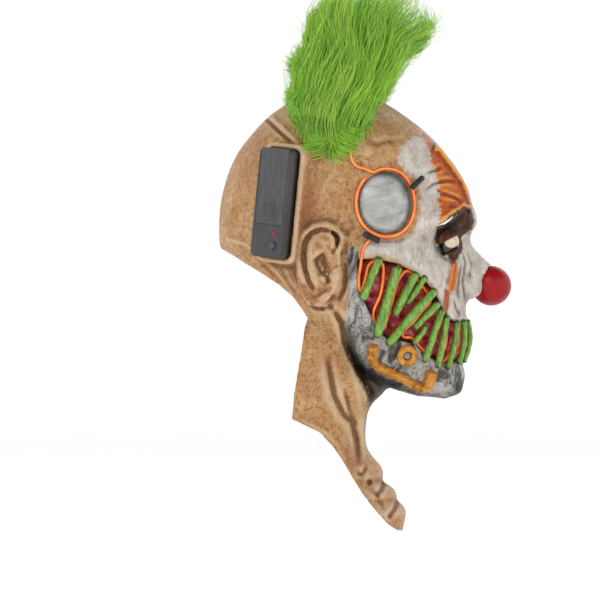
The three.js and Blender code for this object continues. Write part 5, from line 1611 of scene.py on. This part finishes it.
# %% Ball and eyes
ball_finish, t, shader = new_finish("glossy_red")
here = places(t)
tone = level(t, mottle(t, here, 42, 4, 0.6), 0.3, 0.7)
red = blend(t, tone, linear(140, 1, 12), linear(170, 3, 16))
red = blend(t, level(t, mottle(t, here, 160, 5, 0.65), 0.55, 0.75, 0, 0.4), red, linear(106, 4, 16))
relief = calc(t, "ADD", mottle(t, here, 90, 3), use(t, pores, {"Place": here, "Size": 500.0, "Amount": 0.12}))
feed(t, shader, Base_Color=red, Roughness=level(t, tone, 0, 1, 0.34, 0.46), Normal=bumped(t, relief, 0.0016,
    0.5))
shader.inputs["Specular IOR Level"].default_value = 0.22
shader.inputs["Coat Weight"].default_value = 0.2
shader.inputs["Coat Roughness"].default_value = 0.16
eye_finish, t, shader = new_finish("eye_cream")
here = places(t)
cream = blend(t, level(t, mottle(t, here, 90, 4), 0.35, 0.7), linear(222, 208, 176), linear(196, 176, 138))
veins_at = level(t, mottle(t, here, 260, 5, 0.6, 3.0), 0.6, 0.66, 0, 0.35)
cream = blend(t, veins_at, cream, linear(150, 70, 50))
lid_line = use(t, ragged, {"Place": here, "Value": layer(t, "lid"), "Size": 300.0, "Raggedness": 0.15,
    "Hardness": 6.0})
cream = blend(t, lid_line, cream, linear(14, 9, 8))
feed(t, shader, Base_Color=cream, Roughness=level(t, mottle(t, here, 120, 2), 0.3, 0.7, 0.16, 0.28),
    Normal=bumped(t, mottle(t, here, 200, 3), 0.0002, 0.3))
shader.inputs["Coat Weight"].default_value = 0.6


def round_form(name, centre, radius, finish, cut_y=None):
    """A ball of fine faces, or a dome with a flat back at cut_y."""
    bm = bmesh.new()
    bmesh.ops.create_uvsphere(bm, u_segments=64, v_segments=40, radius=radius)
    bmesh.ops.rotate(bm, verts=bm.verts, cent=(0, 0, 0), matrix=Matrix.Rotation(math.radians(90), 3, "X"))
    bmesh.ops.translate(bm, verts=bm.verts, vec=centre)
    if cut_y is not None:
        geom = bm.verts[:] + bm.edges[:] + bm.faces[:]
        done = bmesh.ops.bisect_plane(bm, geom=geom, plane_co=(0, cut_y, 0), plane_no=(0, 1, 0),
            clear_outer=True)
        edges = [e for e in done["geom_cut"] if isinstance(e, bmesh.types.BMEdge)]
        bmesh.ops.holes_fill(bm, edges=edges)
    bmesh.ops.recalc_face_normals(bm, faces=bm.faces)
    mesh = bpy.data.meshes.new(name)
    bm.to_mesh(mesh)
    bm.free()
    mesh.shade_smooth()
    mesh.materials.append(finish)
    piece = bpy.data.objects.new(name, mesh)
    scene.collection.objects.link(piece)
    return piece


ball = round_form("ball", BALL * MM, 17.75 * MM, ball_finish)
settle(ball, "nose_gloss", "nose_ball")
for side, flip in SIDES.items():
    eye = round_form(f"eye_{side}", Vector((EYE.x * flip[0], EYE.y, EYE.z)) * MM, 12.5 * MM, eye_finish,
        cut_y=(EYE.y + 2.5) * MM)
    eye_at = [at_grid(452.5, 240), math.radians(-40)]
    lid = []
    for v in eye.data.vertices:
        dy, dz = v.co.y / MM - eye_at[0][0], v.co.z / MM - eye_at[0][1]
        along_eye = dy * math.cos(eye_at[1]) + dz * math.sin(eye_at[1])
        over_eye = -dy * math.sin(eye_at[1]) + dz * math.cos(eye_at[1])
        lid.append(min(max(math.hypot(along_eye / 7.6, over_eye / 6.2) - 0.5, 0), 1))
    keep_values(eye.data, "lid", np.array(lid))
    settle(eye, "eye_cream", f"eyeball_{side}")
print("ball and eyes are in")

# %% [markdown]
# ## Battery pack
# The pack is moulded plastic, so every edge is a little round. Each piece is a copy of its engineering
# node with its flat faces joined and a small bevel, which keeps every size and fit.

# %% Pack finishes and pieces
case_finish, t, shader = new_finish("black_plastic")
here = places(t)
front_face = level(t, layer(t, "front"), 0.4, 0.6)
fine = mottle(t, here, 500, 4, 0.6)
dust = level(t, mottle(t, here, 60, 5, 0.7), 0.5, 0.75)
body_black = blend(t, dust, linear(17, 17, 18), linear(34, 33, 34))
feed(t, shader, Base_Color=blend(t, front_face, body_black, blend(t, dust, linear(62, 62, 65),
    linear(80, 79, 80))), Roughness=level(t, fine, 0.3, 0.7, 0.34, 0.48),
     Normal=bumped(t, use(t, pores, {"Place": here, "Size": 1500.0, "Amount": 0.5}), 0.0002, 0.4))
door_finish, t, shader = new_finish("grey_plastic")
here = places(t)
streak = mottle(t, places(t, (1, 1, 0.25)), 240, 4, 0.6)
grey = blend(t, level(t, streak, 0.35, 0.7), linear(66, 66, 69), linear(84, 84, 88))
grey = blend(t, level(t, mottle(t, here, 500, 5, 0.7), 0.6, 0.7, 0, 0.4), grey, linear(110, 110, 112))
feed(t, shader, Base_Color=grey, Roughness=level(t, streak, 0.3, 0.7, 0.42, 0.55),
     Normal=bumped(t, use(t, pores, {"Place": here, "Size": 1800.0, "Amount": 0.6}), 0.0002, 0.5))
lamp_finish, t, shader = new_finish("red_lamp")
here = places(t)
deep = blend(t, level(t, mottle(t, here, 600, 2), 0.3, 0.7), linear(216, 20, 22), linear(150, 8, 12))
feed(t, shader, Base_Color=deep, Roughness=level(t, mottle(t, here, 900, 2), 0.3, 0.7, 0.15, 0.25),
    Emission_Color=deep)
shader.inputs["Emission Strength"].default_value = 0.5


def bevelled_copy(node, name, width, finish, segments=3):
    """Copy of a node with its triangles joined into faces and its edges rounded."""
    bm = bmesh.new()
    bm.from_mesh(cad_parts[node].data)
    bmesh.ops.remove_doubles(bm, verts=bm.verts, dist=2e-6)
    bmesh.ops.dissolve_limit(bm, angle_limit=math.radians(1.5), verts=bm.verts, edges=bm.edges)
    mesh = bpy.data.meshes.new(name)
    bm.to_mesh(mesh)
    bm.free()
    mesh.materials.append(finish)
    piece = bpy.data.objects.new(name, mesh)
    scene.collection.objects.link(piece)
    edge = piece.modifiers.new("edge", "BEVEL")
    edge.width = width
    edge.segments = segments
    edge.limit_method = "ANGLE"
    edge.angle_limit = math.radians(40)
    edge.harden_normals = False
    applied(piece)
    piece.data.shade_smooth()
    return piece


def sharp_by_angle(piece, degrees):
    piece.data.set_sharp_from_angle(angle=math.radians(degrees))
    return piece


case = sharp_by_angle(bevelled_copy("battery_case", "pack_case", 0.0009, case_finish), 50)
case_inverse = case_frame.inverted()
keep_values(case.data, "front",
    np.array([float((case_inverse @ (v.co / MM)).z > 18.3) for v in case.data.vertices]))
settle(case, "case_black", "battery_case")
settle(sharp_by_angle(bevelled_copy("battery_door", "pack_door", 0.0002, door_finish, 2), 50), "door_grey",
    "battery_door", body="door")
settle(sharp_by_angle(bevelled_copy("push_button", "pack_button", 0.0004, door_finish), 50), "clip_black",
    "push_button", body="button")
settle(sharp_by_angle(bevelled_copy("lamp", "pack_lamp", 0.0004, lamp_finish), 60), "lamp_red", "lamp")
print("pack is dressed")

# %% [markdown]
# ## Green fur
# The tufts are long-haired fun fur, glued on at the sides of the crown. Guide lines drawn on the side
# view give the way the locks comb. Strands are drawn between the guides, gathered into clumps with a
# shared wave, and swept by the tube tree with three sides each. A soft core stops light coming through.

# %% Fur finish
fur_finish, t, shader = new_finish("green_fur")
here = places(t)
green = blend(t, layer(t, "tint"), linear(128, 200, 20), linear(196, 236, 92))
green = blend(t, level(t, mottle(t, here, 45, 4, 0.6), 0.48, 0.72, 0, 0.45), green, linear(96, 190, 10))
# Painted shade: darker green towards the roots and on the core.
green = blend(t, level(t, layer(t, "deep"), 0, 1, 0, 0.6), green, linear(56, 130, 8))
feed(t, shader, Base_Color=green, Roughness=level(t, layer(t, "tint"), 0, 1, 0.62, 0.46),
    Normal=bumped(t, mottle(t, here, 700, 2), 0.0001, 0.3))
shader.inputs["Sheen Weight"].default_value = 0.15

GUIDES = [
    [(297, 128), (290, 112), (291, 95), (297, 78), (293, 62), (299, 48)],
    [(305, 142), (298, 115), (300, 90), (305, 65), (303, 40)],
    [(315, 150), (310, 115), (314, 85), (317, 50), (313, 24), (321, 4), (330, -12)],
    [(325, 156), (322, 118), (328, 85), (334, 45), (331, 8), (338, -18), (348, -28)],
    [(335, 157), (336, 115), (345, 80), (352, 40), (355, 5), (362, -22), (368, -31)],
    [(346, 148), (350, 112), (362, 78), (372, 42), (378, 10), (386, -16), (390, -29)],
    [(358, 138), (364, 106), (376, 78), (388, 50), (395, 22), (402, -2), (406, -18)],
    [(369, 126), (375, 102), (387, 82), (399, 64), (409, 44), (416, 24), (418, 10)],
    [(374, 114), (382, 92), (396, 72), (408, 56), (420, 40), (430, 20), (433, 8)],
]
LINES = np.array([smooth_path([(0, *at_grid(*p)) for p in g], 24) for g in GUIDES])[:, :, 1:]
FUR_LOW, FUR_HIGH = (np.array(c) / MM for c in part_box("hair_tuft_right"))
FUR_X, FUR_HALF = (FUR_LOW[0] + FUR_HIGH[0]) / 2, (FUR_HIGH[0] - FUR_LOW[0]) / 2
STEPS = 12
print("fur between", FUR_LOW.round(), FUR_HIGH.round())


def on_guides(u, s):
    """Side-view places at share u across the guides and share s along them."""
    g, k = np.clip(u, 0, 1) * (len(LINES) - 1), np.clip(s, 0, 1) * (LINES.shape[1] - 1)
    i, j = np.minimum(g.astype(int), len(LINES) - 2), np.minimum(k.astype(int), LINES.shape[1] - 2)
    f, q = (g - i)[..., None], (k - j)[..., None]
    return ((LINES[i, j] * (1 - f) + LINES[i + 1, j] * f) * (1 - q) + (LINES[i,
        j + 1] * (1 - f) + LINES[i + 1, j + 1] * f) * q)


# %% [markdown]
# ## Strands of fur
# Long strands follow the guides, and short ones lie on the skin round the edge. A fixed seed makes the
# same fur each time.

# %% Strands
skin_tree = BVHTree.FromPolygons([v.co for v in mask.data.vertices],
    [tuple(p.vertices) for p in mask.data.polygons])


def skin_x(y, z):
    """Outermost x of the latex on the right side at a side-view place, in millimetres."""
    hit = skin_tree.ray_cast(Vector((-0.2, y * MM, z * MM)), Vector((1, 0, 0)), 0.2)[0]
    return hit.x / MM if hit else -20.0


def combed(count, seed):
    """Long strands that follow the guides, as points, radii, tint and painted shade towards the root."""
    rng = np.random.default_rng(seed)
    clumps = 120
    cu, cw = rng.random(clumps), np.sin(rng.uniform(-1.5, 1.5, clumps))
    u, w = rng.random(count) ** 1.05, np.sin(rng.uniform(-1.57, 1.57, count))
    near = ((u[:, None] - cu) ** 2 * 9 + (w[:, None] - cw) ** 2).argmin(1)
    t = np.linspace(0, 1, STEPS)[None]
    s0 = rng.random(count) ** 1.1 * 0.7
    s1 = np.minimum(s0 + rng.uniform(0.2, 0.42, count), 0.9 + rng.random(count) * 0.1)
    s = s0[:, None] + (s1 - s0)[:, None] * t
    uu = u[:, None] + (cu[near] - u)[:, None] * 0.6 * t
    ww = (w[:, None] + (cw[near] - w)[:, None] * 0.5 * t) * (0.72 + 0.28 * t)
    points = np.empty((count, STEPS, 3))
    points[..., 1:] = on_guides(uu, s)
    bulge = np.interp(s, [0, 0.15, 0.45, 0.8, 1.05], [0.55, 0.9, 1.0, 0.85,
        0.5]) * np.sqrt(1 - 0.75 * (2 * np.clip(uu, 0, 1) - 1) ** 2)
    points[..., 0] = FUR_X + ww * FUR_HALF * bulge * 0.94
    for a, b in zip(*np.where(s < 0.2)):
        _, y, z = points[a, b]
        x = min(skin_x(y, z), -56.0) - 1.0 - 9 * s[a, b] * (1 - ww[a, b])
        points[a, b, 0] += (x - points[a, b, 0]) * (1 - s[a, b] / 0.2) ** 0.8
    free = np.interp(s, [0, 0.15, 0.4], [0, 0.6, 1])
    flow = 8.0 * s + 4.2 * uu + 1.7 * ww + 1.4 * np.sin(4.1 * uu + 2 * ww)
    points[..., 1] += free * (4.4 * np.sin(flow) + 2.6 * np.sin(2.1 * flow + 1.3))
    points[..., 2] += free * 3.4 * np.cos(1.5 * flow)
    phase, turns, swing = rng.random(clumps) * 6.3, rng.uniform(0.4, 1.3, clumps), rng.uniform(2.5, 7.0,
        clumps)
    wave = phase[near, None] + 6.3 * turns[near, None] * t + rng.normal(0, 0.5, count)[:, None]
    grow = swing[near, None] * t * np.interp(s, [0, 0.2], [0.2, 1])
    stray = np.where(rng.random(count) < 0.12, 3.2, 1.0)[:, None] * t ** 1.6
    points[..., 1] += np.sin(wave) * grow + rng.normal(0, 2.2, count)[:, None] * stray
    points[..., 0] += np.cos(wave * 0.9) * grow * 0.6 + rng.normal(0, 1.3, count)[:, None] * np.minimum(stray,
        1.5)
    points[..., 2] += np.cos(wave) * grow * 0.4 + rng.normal(0, 1.5, count)[:, None] * np.minimum(stray, 1.5)
    radius = 0.4 * (1 - 0.8 * t ** 2) * rng.uniform(0.75, 1.15, count)[:, None]
    tint = np.clip(rng.random(clumps)[near] * 0.5 + rng.random(count) * 0.5, 0, 1)
    # deep: painted shade, strongest at the root of each strand.
    deep = np.clip(0.75 - 1.5 * t, 0, 1) * (0.4 + 0.6 * rng.random(count)[:, None])
    return points, radius, np.repeat(tint, STEPS).reshape(count, STEPS), deep


FRINGE = [(291, 100), (291, 112), (295, 130), (307, 149), (321, 159), (334, 162), (348, 151), (363, 137),
    (376, 124), (377, 110)]


def fringe(count, seed):
    """Short strands that lie on the skin round the lower edge of the fur."""
    rng = np.random.default_rng(seed)
    edge = np.array([at_grid(*p) for p in FRINGE])
    along = rng.random(count) * (len(edge) - 1)
    i = np.minimum(along.astype(int), len(edge) - 2)
    rim = edge[i] + (edge[i + 1] - edge[i]) * (along - i)[:, None]
    middle = np.array(at_grid(336, 112))
    out = rim - middle
    out /= np.linalg.norm(out, axis=1)[:, None]
    aside = np.stack([-out[:, 1], out[:, 0]], axis=1)
    inward = rng.random(count) ** 1.2 * 26
    reach = rng.uniform(5, 11, count)
    lean = np.sin(along * 1.9 + 0.6) * 1.5 + rng.normal(0, 0.3, count)
    t = np.linspace(0, 1, STEPS)[None]
    flat = (rim - out * (inward + 5)[:, None])[:, None] + (out[:, None] + aside[:, None] * lean[:, None,
        None] * t[..., None]) * (reach[:, None] * t)[..., None]
    points = np.empty((count, STEPS, 3))
    points[..., 1:] = flat
    lift = 1.0 + (inward * 0.32)[:, None] + 4.5 * np.sin(t * 2.4) * rng.uniform(0.5, 1, count)[:, None]
    for a in range(count):
        for b in range(STEPS):
            points[a, b, 0] = min(skin_x(*flat[a, b]), -52.0) - lift[a, b]
    radius = 0.42 * (1 - 0.75 * t ** 2) * np.ones((count, 1))
    tint = np.repeat(np.clip(rng.random(count) * 0.8 + 0.1, 0, 1), STEPS).reshape(count, STEPS)
    # The last value is painted shade, strongest at the root.
    return points, radius, tint, np.clip(0.7 - t, 0, 1) * np.ones((count, 1)) * 0.8


for half, seed in (("a", 41), ("b", 42)):
    groups = [combed(2150, seed), fringe(450, seed + 10)]
    points, radii, tint, deep = (np.concatenate([g[k] for g in groups]) for k in range(4))
    for side, flip in SIDES.items():
        locks = swept_tube(f"fur_{half}_{side}", list(zip(points * flip * MM, radii * MM)), fur_finish,
            sides=3)
        each = len(locks.data.vertices) // (len(points) * STEPS)
        keep_values(locks.data, "tint", np.repeat(tint.ravel(), each))
        keep_values(locks.data, "deep", np.repeat(deep.ravel(), each))
        settle(locks, "green_fur", f"hair_tuft_{side}")
    print("strands", len(points), "triangles", len(locks.data.loop_triangles) or 2 * len(locks.data.polygons))

# %% [markdown]
# ## Core of the fur
# The core is a loft along the guides, well inside the strands.

# %% Core of the fur
for side, flip in SIDES.items():
    rings = []
    for s in np.linspace(0.03, 0.84, 30):
        rear, fore = on_guides(np.array(0.1), np.array(s)), on_guides(np.array(0.86), np.array(s))
        girth = math.sqrt(max(1 - abs(2 * s / 0.9 - 0.9) ** 4, 0.05))
        root = max(0.0, 1 - s / 0.2)
        ring = []
        for a in np.linspace(0, 2 * np.pi, 40, endpoint=False):
            lump = 1 + 0.06 * math.sin(3 * a + 9 * s) + 0.05 * math.sin(5 * a - 17 * s)
            y, z = (rear + fore) / 2 + (fore - rear) / 2 * math.cos(a) * lump * (0.6 + 0.4 * girth)
            x = FUR_X + FUR_HALF * 0.55 * math.sin(a) * lump * girth
            ring.append(np.array([x + (min(skin_x(y, z), -58.0) - x + 1 + 4 * math.sin(a)) * root, y,
                z]) * flip)
        rings.append(np.array(ring))
    core = lofted_piece(f"fur_core_{side}", rings, fur_finish)
    keep_values(core.data, "tint", np.full(len(core.data.vertices), 0.25))
    # The core takes strong painted shade all over.
    keep_values(core.data, "deep", np.full(len(core.data.vertices), 0.75))
    settle(core, "green_fur", f"hair_tuft_{side}")
print("fur is on")
